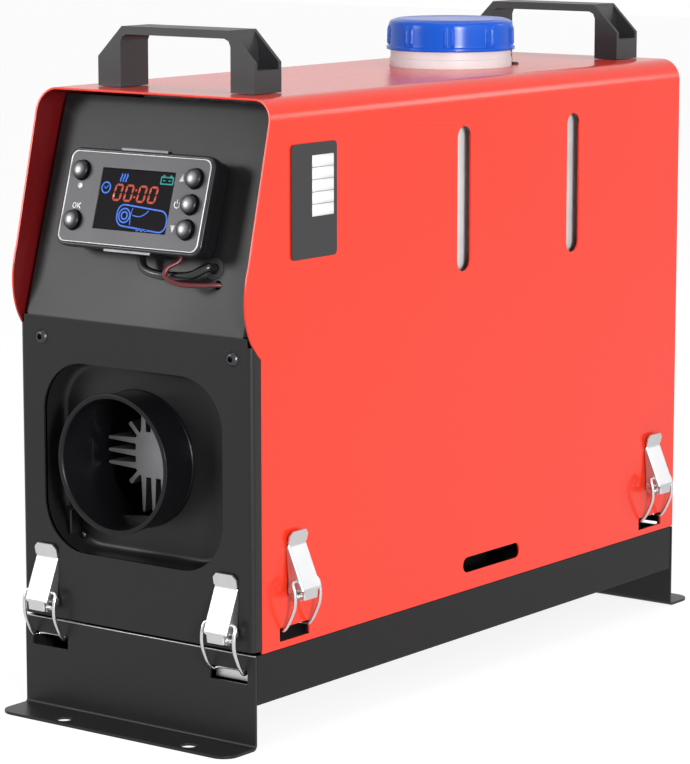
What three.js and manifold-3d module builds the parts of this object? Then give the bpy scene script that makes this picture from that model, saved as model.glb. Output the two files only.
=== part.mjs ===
// Portable diesel air heater: a red folded housing over a black base, with a tank, a burner, a hot-air
// outlet, a controller and six draw latches. Millimetres, +Z up. The hot air leaves towards -Y.
// The origin is on the floor, below the middle of the housing.
import * as THREE from 'three';
import { mergeVertices } from 'three/addons/utils/BufferGeometryUtils.js';
import Module from 'manifold-3d';

const wasm = await Module();
wasm.setup();

// ---------------------------------------------------------------- clearances
const seat = 0.3;              // between two pieces that rest on each other
const slip = 0.4;              // round a pin, a stem or a pipe in its hole

// ---------------------------------------------------------------- red housing
const shellWidth = 155.2;
const shellSheet = 1.2;
const shellBottom = 48.9;
const shellTop = 326.6;
const shellRear = 199.8;
const shellFront = -193.9;     // lower front edge of the side walls
const kneeHeight = 198.7;      // where the side walls start to swell forwards
const noseReach = 13.6;        // how far the swelling stands in front of the lower edge
const noseTop = 246;
const roofFront = -183.3;
const roofBend = 12;
const ventWidth = 12.2;
const ventBottom = 224.7;
const ventTop = 302.6;
const ventPlaces = [-19.3, 86.8];
const lowSlotLength = 54.5;
const lowSlotHeight = 8.4;
const lowSlotPlace = 9;
const lowSlotLevel = 63;

// ---------------------------------------------------------------- black base
const baseSheet = 1.5;
const baseFace = -199.9;       // front face of the front foot
const baseTop = 48.4;
const railBottom = 23.1;
const railInset = 0.2;
const flangeReach = 22.9;
const flangeCorner = 9;
const flangeHole = 8.4;
const flangeHoleSpread = 42;
const flangeHoleReach = 15.5;
const catchTabHeight = 22;     // catch tabs of the tray, above the rails
const catchTabMargin = 5;

// ---------------------------------------------------------------- front panel
const panelSheet = 1.2;
const panelBottom = 50.5;
const foldLevel = 209.5;
const slopeLength = 117.5;
const slopeLean = THREE.MathUtils.degToRad(16.8);
const slopeWidth = 146.4;
const panelFlange = 12;
const dishWidth = 119.3;
const dishHeight = 99.8;
const dishCorner = 27;
const dishDepth = 11;
const dishCentre = [-1.6, 137];
const panelScrew = 8;          // head diameter
const screwLength = 7;
const panelScrewPlaces = [[-62.1, 198.7], [64.8, 198.7]];

// ---------------------------------------------------------------- outlet, burner and blower
const ductCentre = [-8.5, 138.1];
const ductOuter = 71.5;
const ductWall = 2;
const ductProud = 8.6;         // lip in front of the panel face
const ductLength = 36;
const lipBead = 0.8;
const caseSize = 112;
const caseWall = 3;
const caseCorner = 18;
const caseLength = 320;
const caseFootWidth = 60;
const caseFootLength = 20;
const caseFootInset = 40;      // between an end of the casing and its foot
const coreSize = 24;
const finLength = 18.6;
const finThickness = 2.2;
const finPitch = 6.6;
const coreSetback = 32.7;      // fins behind the outlet lip
const coreLength = 250;
const coreFootLength = 70;
const motorDiameter = 46;
const motorLength = 34;
const shaftDiameter = 6;
const wheelDiameter = 88;
const wheelLength = 22;
const bladeCount = 11;
const exhaustDiameter = 24;
const intakeDiameter = 20;
const pipeSpread = 46;
const pipeWall = 1.5;
const pipeEnd = 7;             // lower end of both pipes above the floor

// ---------------------------------------------------------------- fuel system
const tankSideGap = 7.4;       // between the tank and the side walls
const tankFront = -118;
const tankRear = 184;
const tankBottom = 214;
const tankWall = 3;
const tankCorner = 12;
const neckPlace = 77.5;
const neckDiameter = 67.8;
const neckWall = 3;
const neckRise = 22;           // top of the neck above the roof
const capDiameter = 72.8;
const capWall = 2;
const capBottomRise = 9.4;
const capTopRise = 26.9;
const capRibPairs = 9;
const capRibStart = THREE.MathUtils.degToRad(23.6);
const capRibSpread = THREE.MathUtils.degToRad(3.3);
const capRibWidth = 1.1;
const capRibDepth = 1.6;
const sealThickness = 1.5;
const pumpDiameter = 24;
const pumpLength = 74;
const pumpPlace = [58, 166];
const pumpBottom = 98;
const pumpClipWidth = 32;
const pumpClipHeight = 22;
const pumpClipRise = 24;       // above the lower end of the pump
const spigotDiameter = 6;
const spigotLength = 8;
const hoseDiameter = 8;
const hoseEntry = [100, 92];   // fuel inlet on the side of the burner casing: [y, z]

// ---------------------------------------------------------------- handles
const handleWidth = 103.4;
const handleDepth = 22;
const handleRise = 31.7;
const handleChamferRise = 15.8;
const handleChamferRun = 16.2;
const gripThickness = 4.2;
const legThickness = 15.3;
const handleCorner = 4;
const handleWall = 2.4;
const handleBlockRise = 12;
const handlePlaces = { front_handle: -155, rear_handle: 182.5 };

// ---------------------------------------------------------------- controller
const controllerCentre = 61.3; // up the slope, from the fold
const faceWidth = 91.5;
const faceHeight = 46.7;
const faceCorner = 4;
const faceThickness = 1.4;
const faceOffset = 17.6;       // front of the face in front of the slope
const bezel = 2.2;
const caseBackOffset = 2.8;
const controllerWall = 2;
const clipWidth = 31;
const clipRise = 1.6;
const clipDepth = 3.4;
const screenWidth = 48;
const screenHeight = 31.3;
const buttonDiameter = 9.8;
const buttonProud = 3;
const buttonStem = 4;
const buttonGap = 1.1;         // under the button head, so that it can travel
const leftButtonInset = 8.4;   // from the left edge of the face to the middle of its buttons
const rightButtonInset = 8.4;
const upperButtonInset = 9.85;
const lowerButtonInset = 10.85;
const powerButtonRise = 0.3;
const bracketWidth = 66;
const bracketHeight = 36;
const bracketFrame = 10;
const bracketCorner = 3;

// ---------------------------------------------------------------- latches
const latchWidth = 15;
const latchSheet = 1;
const keeperWidth = 11.4;
const keeperSheet = 1.2;
const pivotOut = 6;
const pivotUp = 16.2;
const pivotPin = 3;
const bailWire = 2;
const bailWidth = 20.6;
const bailEyeUp = 7.8;         // bail eye above the lever pivot
const latchWindowWidth = 24.6;
const latchWindowHeight = 7;
const frontLatchLevel = 40.5;  // upper edge of the window
const sideLatchLevel = 59.5;
const frontLatchSpread = 60.3;
const sideLatchPlaces = { front: -167.4, rear: 174 };
const frontHook = 2.9;         // depth of the bail's crossbar behind the outer face of the wall
const sideHook = 4.6;
// Side view of the lever's outer skin, [out, up]: finger tab, bend, lower corner and lip.
const tabTop = [3.4, 49];
const tabBend = [1.8, 42];
const lowerCorner = [11.2, 20];
const lipEnd = [10.6, 14.6];

// ---------------------------------------------------------------- rating label, lead and rear screws
const labelWidth = 37.5;
const labelHeight = 58;
const labelThickness = 0.5;
const labelPlace = [-151.5, 274.4];
const leadDiameter = 4.6;
const redLeadDiameter = 2.6;
const leadExit = [4, 8.5];     // where the leads leave the controller: [x, distance out of the slope]
const redExit = [31, 10];
const leadEntry = [46.5, 33];  // where the leads pass the slope: [x, distance up the slope]
const redEntry = [52, 25];
const leadPlug = 30;           // where the leads enter the control unit, across the heater
const redPlug = 40;
const unitHeight = 12;
const unitWidth = 39;
const unitLength = 44;
const unitMargin = 5;          // between the red wire's plug and the end of the control unit
const rearFlange = 5;
const rearScrewDiameter = 8;
const rearScrewSpread = 68;
const rearScrewLevels = { lower: 96, upper: 294 };

// ---------------------------------------------------------------- worked-out places
const halfWidth = shellWidth / 2;
const innerHalf = halfWidth - shellSheet;
const roofUnder = shellTop - shellSheet;
const panelBack = baseFace + panelSheet;
const lipFront = baseFace - ductProud;
const coreFront = lipFront + coreSetback;
const coreRear = coreFront + coreLength;
const caseFront = lipFront + ductLength - 2;
const caseRear = caseFront + caseLength;
const unitFront = caseFront + 8;
const unitLevel = ductCentre[1] + caseSize / 2 + unitHeight / 2;
const motorRear = coreRear + seat + motorLength;
const wheelFront = motorRear + 3;
const rearFace = shellRear - 1;
const rearBack = rearFace - panelSheet;
const trayRail = innerHalf - seat;
const tankWidth = 2 * (innerHalf - tankSideGap);

const buttonRows = [faceHeight / 2 - upperButtonInset, powerButtonRise, lowerButtonInset - faceHeight / 2];
const buttonPlaces = {
  button_menu: [leftButtonInset - faceWidth / 2, buttonRows[0]],
  button_ok: [leftButtonInset - faceWidth / 2, buttonRows[2]],
  button_up: [faceWidth / 2 - rightButtonInset, buttonRows[0]],
  button_power: [faceWidth / 2 - rightButtonInset, buttonRows[1]],
  button_down: [faceWidth / 2 - rightButtonInset, buttonRows[2]],
};

// ---------------------------------------------------------------- shape helpers
function toSolid(geometry) {
  const bare = geometry.index ? geometry.toNonIndexed() : geometry.clone();
  for (const name of Object.keys(bare.attributes)) {
    if (name !== 'position') bare.deleteAttribute(name);
  }
  const merged = mergeVertices(bare, 1e-4);
  const mesh = new wasm.Mesh({
    numProp: 3,
    vertProperties: new Float32Array(merged.attributes.position.array),
    triVerts: new Uint32Array(merged.index.array),
  });
  return new wasm.Manifold(mesh);
}

function toGeometry(solid) {
  const mesh = solid.getMesh();
  const geometry = new THREE.BufferGeometry();
  geometry.setAttribute('position', new THREE.BufferAttribute(new Float32Array(mesh.vertProperties), 3));
  geometry.setIndex(new THREE.BufferAttribute(new Uint32Array(mesh.triVerts), 1));
  geometry.computeVertexNormals();
  return geometry;
}

const join = (first, ...rest) => rest.reduce((sum, next) => sum.add(next), first);
const cut = (first, ...rest) => rest.reduce((left, next) => left.subtract(next), first);

function box(x0, x1, y0, y1, z0, z1) {
  const geometry = new THREE.BoxGeometry(x1 - x0, y1 - y0, z1 - z0);
  geometry.translate((x0 + x1) / 2, (y0 + y1) / 2, (z0 + z1) / 2);
  return toSolid(geometry);
}

// An outline drawn in two world directions, pulled along the third one.
const outlineAxes = {
  x: new THREE.Matrix4().makeBasis(new THREE.Vector3(0, 1, 0), new THREE.Vector3(0, 0, 1),
    new THREE.Vector3(1, 0, 0)),
  y: new THREE.Matrix4().makeBasis(new THREE.Vector3(1, 0, 0), new THREE.Vector3(0, 0, 1),
    new THREE.Vector3(0, -1, 0)),
  z: new THREE.Matrix4(),
};

// Arcs in the outline get twice as many sides as curveSegments.
function pull(shape, axis, from, to, curveSegments = 3) {
  const geometry = new THREE.ExtrudeGeometry(shape, { depth: to - from, bevelEnabled: false, curveSegments });
  geometry.applyMatrix4(outlineAxes[axis]);
  const start = axis === 'y' ? to : from;
  geometry.translate(axis === 'x' ? start : 0, axis === 'y' ? start : 0, axis === 'z' ? start : 0);
  return toSolid(geometry);
}

function polygon(points) {
  return new THREE.Shape(points.map(([a, b]) => new THREE.Vector2(a, b)));
}

function roundedRect(a, b, width, height, radius) {
  const shape = new THREE.Shape();
  const left = a - width / 2;
  const low = b - height / 2;
  shape.moveTo(left + radius, low);
  shape.lineTo(left + width - radius, low);
  shape.absarc(left + width - radius, low + radius, radius, -Math.PI / 2, 0);
  shape.lineTo(left + width, low + height - radius);
  shape.absarc(left + width - radius, low + height - radius, radius, 0, Math.PI / 2);
  shape.lineTo(left + radius, low + height);
  shape.absarc(left + radius, low + height - radius, radius, Math.PI / 2, Math.PI);
  shape.lineTo(left, low + radius);
  shape.absarc(left + radius, low + radius, radius, Math.PI, Math.PI * 1.5);
  return shape;
}

function circle(a, b, diameter) {
  return new THREE.Shape().absarc(a, b, diameter / 2, 0, Math.PI * 2);
}

function disc(axis, a, b, diameter, from, to, sides = 24) {
  return pull(circle(a, b, diameter), axis, from, to, sides / 2);
}

function ring(axis, a, b, outer, inner, from, to, sides = 24) {
  return cut(disc(axis, a, b, outer, from, to, sides), disc(axis, a, b, inner, from - 1, to + 1, sides));
}

// A turned form about +Z: profile points are [radius, height].
function turned(profile, segments) {
  return toSolid(new THREE.LatheGeometry(profile.map(([r, z]) => new THREE.Vector2(r, z)), segments)
    .rotateX(Math.PI / 2));
}

// A round rod along a curve through the given points.
function rod(points, diameter, steps, sides) {
  const curve = new THREE.CatmullRomCurve3(points.map((p) => new THREE.Vector3(...p)), false, 'centripetal');
  const section = new THREE.Shape();
  for (let side = 0; side < sides; side += 1) {
    const angle = (side / sides) * Math.PI * 2;
    const point = [Math.cos(angle) * diameter / 2, Math.sin(angle) * diameter / 2];
    if (side === 0) section.moveTo(...point);
    else section.lineTo(...point);
  }
  section.closePath();
  return toSolid(new THREE.ExtrudeGeometry(section, { steps, extrudePath: curve, curveSegments: 1 }));
}

// ---------------------------------------------------------------- named meshes
const heater = new THREE.Group();

function finish(color, roughness, metalness = 0) {
  return { color, roughness, metalness };
}

const redCoat = finish(0xe8352c, 0.28);
const blackCoat = finish(0x232325, 0.55);
const blackPlastic = finish(0x303033, 0.6);
const brightSteel = finish(0xd8dade, 0.25, 1);
const castAluminium = finish(0x9b9da0, 0.5, 0.9);
const whitePlastic = finish(0xe9e9e4, 0.5);
const bluePlastic = finish(0x0c55e0, 0.35);
const darkRubber = finish(0x141414, 0.8);
const faceGrey = finish(0x6d6a6d, 0.35, 0.3);
const screenGlass = finish(0x14101a, 0.1);
const buttonMetal = finish(0x6b6b6e, 0.25, 0.9);
const pumpMetal = finish(0x8b8d90, 0.35, 0.9);
const redWire = finish(0x7a1520, 0.5);

function addMesh(name, solid, look, parent = heater) {
  const mesh = new THREE.Mesh(toGeometry(solid), new THREE.MeshStandardMaterial(look));
  mesh.name = name;
  parent.add(mesh);
}

// ---------------------------------------------------------------- red housing
function sideOutline() {
  const shape = new THREE.Shape();
  shape.moveTo(shellFront, shellBottom);
  shape.lineTo(shellRear, shellBottom);
  shape.lineTo(shellRear, shellTop);
  shape.lineTo(roofFront, shellTop);
  shape.lineTo(shellFront - noseReach * 0.66, noseTop);
  shape.bezierCurveTo(shellFront - noseReach * 1.13, noseTop - 18, shellFront - noseReach * 0.96,
    kneeHeight + 11, shellFront, kneeHeight);
  return shape;
}

function archOutline(inset, bend, low) {
  const half = halfWidth - inset;
  const top = shellTop - inset;
  const shape = new THREE.Shape();
  shape.moveTo(-half, low);
  shape.lineTo(half, low);
  shape.lineTo(half, top - bend);
  shape.absarc(half - bend, top - bend, bend, 0, Math.PI / 2);
  shape.lineTo(-half + bend, top);
  shape.absarc(-half + bend, top - bend, bend, Math.PI / 2, Math.PI);
  return shape;
}

function sideCuts() {
  const across = halfWidth + 5;
  const vents = ventPlaces.map((place) => pull(
    roundedRect(place, (ventBottom + ventTop) / 2, ventWidth, ventTop - ventBottom, ventWidth / 2 - 0.01),
    'x', -across, across, 2));
  const lowSlot = pull(
    roundedRect(lowSlotPlace, lowSlotLevel, lowSlotLength, lowSlotHeight, lowSlotHeight / 2 - 0.01),
    'x', -across, across, 2);
  const windows = Object.values(sideLatchPlaces).map((place) => box(-across, across,
    place - latchWindowWidth / 2, place + latchWindowWidth / 2,
    sideLatchLevel - latchWindowHeight, sideLatchLevel));
  return join(lowSlot, ...vents, ...windows);
}

function outerShell() {
  const front = shellFront - noseReach - 5;
  const sheet = cut(pull(archOutline(0, roofBend, shellBottom), 'y', front, shellRear, 3),
    pull(archOutline(shellSheet, roofBend - shellSheet, shellBottom - 5), 'y', front - 5, shellRear + 5, 3));
  const trimmed = sheet.intersect(pull(sideOutline(), 'x', -halfWidth - 1, halfWidth + 1, 4));
  const neckHole = disc('z', 0, neckPlace, neckDiameter + 2 * slip + 1, roofUnder - 5, shellTop + 5, 32);
  return cut(trimmed, sideCuts(), neckHole);
}

// ---------------------------------------------------------------- base
function foot(sign, windows) {
  const outer = Math.abs(baseFace);
  const face = sign * outer;
  const inner = sign * (outer - baseSheet);
  const plate = box(-halfWidth, halfWidth, Math.min(face, inner), Math.max(face, inner), 0, baseTop);
  const reach = flangeReach + baseSheet;
  const flange = pull(roundedRect(0, sign * (outer - baseSheet + reach / 2), shellWidth, reach, flangeCorner),
    'z', 0, baseSheet, 2);
  const square = box(-halfWidth, halfWidth, sign > 0 ? inner : face - flangeCorner - 1,
    sign > 0 ? face + flangeCorner + 1 : inner, 0, baseSheet);
  const holes = [-flangeHoleSpread, flangeHoleSpread].map((x) => disc('z', x + 4.7,
    sign * (outer + flangeHoleReach), flangeHole, -1, baseSheet + 1, 12));
  return cut(join(plate, flange, square), ...holes, ...windows);
}

function frontFoot() {
  const windows = [-frontLatchSpread, frontLatchSpread].map((x) => box(
    x - latchWindowWidth / 2, x + latchWindowWidth / 2, baseFace - 1, baseFace + baseSheet + 1,
    frontLatchLevel - latchWindowHeight, frontLatchLevel));
  return foot(-1, windows);
}

function baseTray() {
  const rear = -baseFace - baseSheet - seat;
  const rails = box(-halfWidth + railInset, halfWidth - railInset, -rear, rear, railBottom,
    shellBottom - seat);
  const well = box(-trayRail + baseSheet, trayRail - baseSheet, -rear - 1, rear + 1,
    railBottom + baseSheet, shellTop);
  const tabs = Object.values(sideLatchPlaces).flatMap((place) => [-1, 1].map((side) => {
    const outside = side * trayRail;
    const inside = side * (trayRail - baseSheet);
    const half = latchWindowWidth / 2 + catchTabMargin;
    const tab = box(Math.min(outside, inside), Math.max(outside, inside), place - half,
      Math.min(place + half, rear), railBottom + 2, baseTop + catchTabHeight);
    return cut(tab, box(-halfWidth, halfWidth, place - latchWindowWidth / 2 - slip,
      place + latchWindowWidth / 2 + slip, sideLatchLevel - latchWindowHeight - slip,
      sideLatchLevel + slip));
  }));
  const railSkin = cut(rails, well);
  const pipeHoles = pipePlaces().map(([x, y, diameter]) => disc('z', x, y, diameter + 2 * slip + 2,
    railBottom - 1, railBottom + baseSheet + 1, 20));
  const pan = cut(railSkin, ...pipeHoles);
  return join(pan, ...tabs);
}

// ---------------------------------------------------------------- front panel
function panelSection() {
  const topY = baseFace + slopeLength * Math.sin(slopeLean);
  const topZ = foldLevel + slopeLength * Math.cos(slopeLean);
  return { topY, topZ };
}

function frontPanel() {
  const half = innerHalf - seat;
  const slopeHalf = slopeWidth / 2;
  const { topY, topZ } = panelSection();
  const down = [Math.cos(slopeLean), -Math.sin(slopeLean)];
  const behind = (y, z, depth) => [y + down[0] * depth, z + down[1] * depth];
  const lowerPlate = box(-half, half, baseFace, panelBack, panelBottom, foldLevel);
  const slopeSection = (depth) => polygon([[baseFace, foldLevel], behind(baseFace, foldLevel, depth),
    behind(topY, topZ, depth), [topY, topZ]]);
  const slopePlate = pull(slopeSection(panelSheet), 'x', -slopeHalf, slopeHalf);
  const flanges = [-1, 1].flatMap((side) => {
    const lower = [side * half, side * (half - panelSheet)].sort((u, v) => u - v);
    const upper = [side * slopeHalf, side * (slopeHalf - panelSheet)].sort((u, v) => u - v);
    return [
      box(lower[0], lower[1], baseFace, baseFace + panelFlange, panelBottom, foldLevel - 6),
      pull(slopeSection(panelFlange), 'x', ...upper),
    ];
  });
  const opening = pull(roundedRect(...dishCentre, dishWidth, dishHeight, dishCorner), 'y', baseFace - 5,
    panelBack + 2, 3);
  const screwHoles = panelScrewPlaces.map(([x, z]) => disc('y', x, z, panelScrew / 2 + 2 * slip,
    baseFace - 2, panelBack + 2, 12));
  const leadHole = slopeHole(leadEntry, leadDiameter + 2);
  const redHole = slopeHole(redEntry, redLeadDiameter + 2);
  return cut(join(lowerPlate, slopePlate, ...flanges), opening, ...screwHoles, leadHole, redHole);
}

// A round hole square to the slope, at [x, distance up the slope].
function slopeHole([x, up], diameter) {
  return toSolid(new THREE.CylinderGeometry(diameter / 2, diameter / 2, 20, 12)
    .translate(x, 0, up).rotateX(-slopeLean).translate(0, baseFace, foldLevel));
}

function recessDish() {
  const [x, z] = dishCentre;
  const back = panelBack + seat + dishDepth;
  const outer = pull(roundedRect(x, z, dishWidth + 4, dishHeight + 4, dishCorner + 2), 'y',
    panelBack + seat, back, 3);
  const inner = pull(roundedRect(x, z, dishWidth, dishHeight, dishCorner), 'y', panelBack - 5,
    back - panelSheet, 3);
  const pipeHole = disc('y', ...ductCentre, ductOuter + 2 * slip, back - 5, back + 5, 28);
  return cut(outer, inner, pipeHole);
}

function buttonHeadScrew(diameter, length, stem) {
  const height = diameter * 0.36;
  const head = turned([[0, 0], [diameter / 2, 0], [diameter * 0.44, height * 0.6], [diameter * 0.3, height],
    [0, height]], 14);
  const socket = toSolid(new THREE.CylinderGeometry(diameter * 0.26, diameter * 0.26, height * 0.7, 6)
    .rotateX(Math.PI / 2).translate(0, 0, height * 0.75));
  const shank = toSolid(new THREE.CylinderGeometry(stem / 2, stem / 2, length, 10)
    .rotateX(Math.PI / 2).translate(0, 0, 0.1 - length / 2));
  return cut(join(head, shank), socket);
}

function placed(name, solid, look, position, rotation, parent = heater) {
  const holder = new THREE.Group();
  holder.position.set(...position);
  holder.rotation.set(...rotation);
  parent.add(holder);
  addMesh(name, solid, look, holder);
}

// ---------------------------------------------------------------- outlet, burner and blower
function outletCollar() {
  const rear = lipFront + ductLength;
  const pipe = disc('y', ...ductCentre, ductOuter, lipFront, rear, 28);
  const bead = disc('y', ...ductCentre, ductOuter + 2 * lipBead, lipFront, lipFront + 2, 28);
  const bore = disc('y', ...ductCentre, ductOuter - 2 * ductWall, lipFront - 1, rear + 1, 28);
  return cut(join(pipe, bead), bore);
}

function heatExchanger() {
  const [x, z] = ductCentre;
  const half = coreSize / 2;
  const core = pull(roundedRect(x, z, coreSize, coreSize, 3), 'y', coreFront, coreRear, 1);
  const fins = [-1, 0, 1].flatMap((row) => {
    const shift = row * finPitch;
    const reach = half + finLength;
    const thick = finThickness / 2;
    return [
      box(x - reach, x + reach, coreFront, coreRear - 20, z + shift - thick, z + shift + thick),
      box(x + shift - thick, x + shift + thick, coreFront, coreRear - 20, z - reach, z + reach),
    ];
  });
  const diagonal = [Math.PI / 4, -Math.PI / 4].map((turn) => toSolid(
    new THREE.BoxGeometry(finThickness, coreLength - 20, coreSize * 2).rotateY(turn)
      .translate(x, coreFront + (coreLength - 20) / 2, z)));
  const caseFloor = z - caseSize / 2 + caseWall;
  const foot1 = box(x - 22, x + 22, -coreFootLength / 2, coreFootLength / 2, caseFloor + seat, z - half + 1);
  const ports = pipePlaces().map(([px, py, diameter]) => disc('z', px, py, diameter - 2 * pipeWall,
    caseFloor - 1, caseFloor + 10, 16));
  return cut(join(core, ...fins, ...diagonal, foot1), ...ports);
}

function pipePlaces() {
  return [
    [ductCentre[0], -pipeSpread / 2 + 2, exhaustDiameter],
    [ductCentre[0], pipeSpread / 2 - 2, intakeDiameter],
  ];
}

function heaterCase() {
  const [x, z] = ductCentre;
  const outer = pull(roundedRect(x, z, caseSize, caseSize, caseCorner), 'y', caseFront, caseRear, 2);
  const inner = pull(roundedRect(x, z, caseSize - 2 * caseWall, caseSize - 2 * caseWall,
    caseCorner - caseWall), 'y', caseFront + caseWall, caseRear + 5, 2);
  const nozzle = disc('y', x, z, ductOuter + 2 * slip, caseFront - 5, caseFront + 10, 28);
  const ports = pipePlaces().map(([px, py, diameter]) => disc('z', px, py, diameter + 2 * slip,
    z - caseSize / 2 - 5, z - caseSize / 2 + caseWall + 5, 16));
  const feetFronts = [caseFront + caseFootInset, caseRear - caseFootInset - caseFootLength];
  const feet = feetFronts.map((y) => box(x - caseFootWidth / 2, x + caseFootWidth / 2, y, y + caseFootLength,
    railBottom + baseSheet + seat, z - caseSize / 2 + 1));
  const spider = [0, 1, 2, 3].map((arm) => {
    const length = caseSize / 2 - caseWall - motorDiameter / 2 + 1;
    return toSolid(new THREE.BoxGeometry(4, 8, length)
      .translate(0, 0, motorDiameter / 2 + seat + length / 2)
      .rotateY(arm * Math.PI / 2).translate(x, motorRear - motorLength / 2, z));
  });
  return cut(join(cut(outer, inner), ...feet, ...spider), nozzle, ...ports, hoseInlet());
}

function hoseInlet() {
  const wall = ductCentre[0] + caseSize / 2;
  return disc('x', ...hoseEntry, spigotDiameter + 2, wall - caseWall - 4, wall + 5, 12);
}

function blowerMotor() {
  const [x, z] = ductCentre;
  const can = disc('y', x, z, motorDiameter, coreRear + seat, motorRear, 24);
  const shaft = disc('y', x, z, shaftDiameter, motorRear - 1, wheelFront + wheelLength - 6, 12);
  return join(can, shaft);
}

function blowerWheel() {
  const [x, z] = ductCentre;
  const back = disc('y', x, z, wheelDiameter, wheelFront, wheelFront + 2, 28);
  const hub = disc('y', x, z, 24, wheelFront, wheelFront + wheelLength - 4, 16);
  const blades = [...Array(bladeCount).keys()].map((index) => toSolid(
    new THREE.BoxGeometry(wheelDiameter / 2 - 14, wheelLength - 1, 1.8).translate(wheelDiameter / 4 + 5, 0, 0)
      .rotateY(0.35).translate(2, 0, 0).rotateY(index * Math.PI * 2 / bladeCount)
      .translate(x, wheelFront + (wheelLength + 1) / 2, z)));
  const bore = disc('y', x, z, shaftDiameter + 2 * seat, wheelFront - 1, wheelFront + wheelLength + 1, 12);
  return cut(join(back, hub, ...blades), bore);
}

function verticalPipe(index) {
  const [x, y, diameter] = pipePlaces()[index];
  const top = ductCentre[1] - caseSize / 2 + caseWall;
  return ring('z', x, y, diameter, diameter - 2 * pipeWall, pipeEnd, top, 16);
}

// ---------------------------------------------------------------- rear panel
function rearPanel() {
  const half = innerHalf - seat;
  const outline = archOutline(shellSheet + seat, roofBend - shellSheet, panelBottom);
  const plate = pull(outline, 'y', rearBack, rearFace, 2);
  const flanges = [-1, 1].map((side) => {
    const outside = side * half;
    const inside = side * (half - panelSheet);
    return box(Math.min(outside, inside), Math.max(outside, inside), rearBack - rearFlange, rearBack + 0.5,
      panelBottom, shellTop - 2 * roofBend);
  });
  const [x, z] = ductCentre;
  const slots = [-4, -3, -2, -1, 0, 1, 2, 3, 4].map((row) => {
    const drop = row * 9;
    const length = 2 * Math.sqrt(44 ** 2 - drop ** 2);
    return pull(roundedRect(x, z + drop, length, 5, 2.4), 'y', rearBack - 5, rearFace + 5, 1);
  });
  const screwHoles = rearScrewSpots().map(([, sx, sz]) => disc('y', sx, sz,
    rearScrewDiameter / 2 + 2 * slip, rearBack - 2, rearFace + 2, 10));
  const [px, py] = pumpPlace;
  const clipBottom = pumpBottom + pumpClipRise;
  const seatBore = disc('z', px, py, pumpDiameter + 2 * seat, pumpBottom, pumpBottom + pumpLength, 20);
  const clip = cut(box(px - pumpClipWidth / 2, px + pumpClipWidth / 2, py, rearBack + 0.5, clipBottom,
    clipBottom + pumpClipHeight), seatBore);
  return join(cut(join(plate, ...flanges), ...slots, ...screwHoles), clip);
}

function rearScrewSpots() {
  return Object.entries(rearScrewLevels).flatMap(([level, z]) => [
    [`rear_screw_${level}_left`, -rearScrewSpread, z],
    [`rear_screw_${level}_right`, rearScrewSpread, z],
  ]);
}

// ---------------------------------------------------------------- fuel system
function fuelTank() {
  const top = roofUnder - seat;
  const middle = (tankFront + tankRear) / 2;
  const height = top - tankBottom;
  const level = (top + tankBottom) / 2;
  const outer = pull(roundedRect(0, level, tankWidth, height, tankCorner), 'y', tankFront, tankRear, 2);
  const plan = pull(roundedRect(0, middle, tankWidth, tankRear - tankFront, tankCorner), 'z',
    tankBottom - 1, top + 1, 2);
  const inner = pull(roundedRect(0, level, tankWidth - 2 * tankWall, height - 2 * tankWall,
    tankCorner - tankWall), 'y', tankFront + tankWall, tankRear - tankWall, 2);
  const neckTop = shellTop + neckRise;
  const neck = disc('z', 0, neckPlace, neckDiameter, top - 1, neckTop, 32);
  const bore = disc('z', 0, neckPlace, neckDiameter - 2 * neckWall, tankBottom + 20, neckTop + 1, 32);
  const [px, py] = pumpPlace;
  const spigot = disc('z', px, py, spigotDiameter, tankBottom - spigotLength, tankBottom + 5, 10);
  const drill = disc('z', px, py, spigotDiameter - 3, tankBottom - spigotLength - 1, tankBottom + 6, 8);
  return cut(join(outer.intersect(plan), neck, spigot), join(inner, bore), drill);
}

function fuelCap() {
  const low = capBottomRise;
  const top = capTopRise;
  const radius = capDiameter / 2;
  const inside = neckDiameter / 2 + slip;
  const profile = [[inside, low], [radius, low], [radius, low + 1.6], [radius - 1, low + 2.2],
    [radius - 1.3, top - 3.6], [radius - 2.4, top - 1.2], [radius - 5, top], [0, top],
    [0, top - capWall], [inside, top - capWall], [inside, low]];
  const body = turned(profile, 30);
  const ribs = [...Array(capRibPairs).keys()].flatMap((pair) => [-1, 1].map((side) => {
    const angle = capRibStart + (pair / capRibPairs) * Math.PI * 2 + side * capRibSpread;
    return toSolid(new THREE.BoxGeometry(capRibDepth, capRibWidth, top - low - 6)
      .translate(radius - 0.85, 0, (top + low) / 2 - 1).rotateZ(angle));
  }));
  return join(body, ...ribs);
}

function capSeal() {
  const top = capTopRise - capWall - seat;
  const radius = neckDiameter / 2;
  return ring('z', 0, 0, 2 * radius - 0.4, 2 * (radius - neckWall - 1), top - sealThickness, top, 28);
}

function fuelPump() {
  const [x, y] = pumpPlace;
  const can = disc('z', x, y, pumpDiameter, pumpBottom, pumpBottom + pumpLength, 20);
  const stem = disc('z', x, y, spigotDiameter, pumpBottom - spigotLength,
    pumpBottom + pumpLength + spigotLength, 10);
  return join(can, stem);
}

function tankHose() {
  const [x, y] = pumpPlace;
  const low = pumpBottom + pumpLength + spigotLength + seat;
  return disc('z', x, y, hoseDiameter, low, tankBottom - spigotLength - seat, 10);
}

function pumpHose() {
  const [x, y] = pumpPlace;
  const start = pumpBottom - spigotLength - seat;
  const wall = ductCentre[0] + caseSize / 2;
  return rod([[x, y, start], [x, y, start - 12], [x + 1, y - 10, start - 26], [x + 2, y - 34, start - 28],
    [x + 3, hoseEntry[0] + 14, hoseEntry[1] - 16], [x + 1, hoseEntry[0] + 2, hoseEntry[1] - 3],
    [wall + 4, hoseEntry[0], hoseEntry[1]], [wall - caseWall + 0.5, hoseEntry[0], hoseEntry[1]]],
  spigotDiameter, 30, 8);
}

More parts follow.
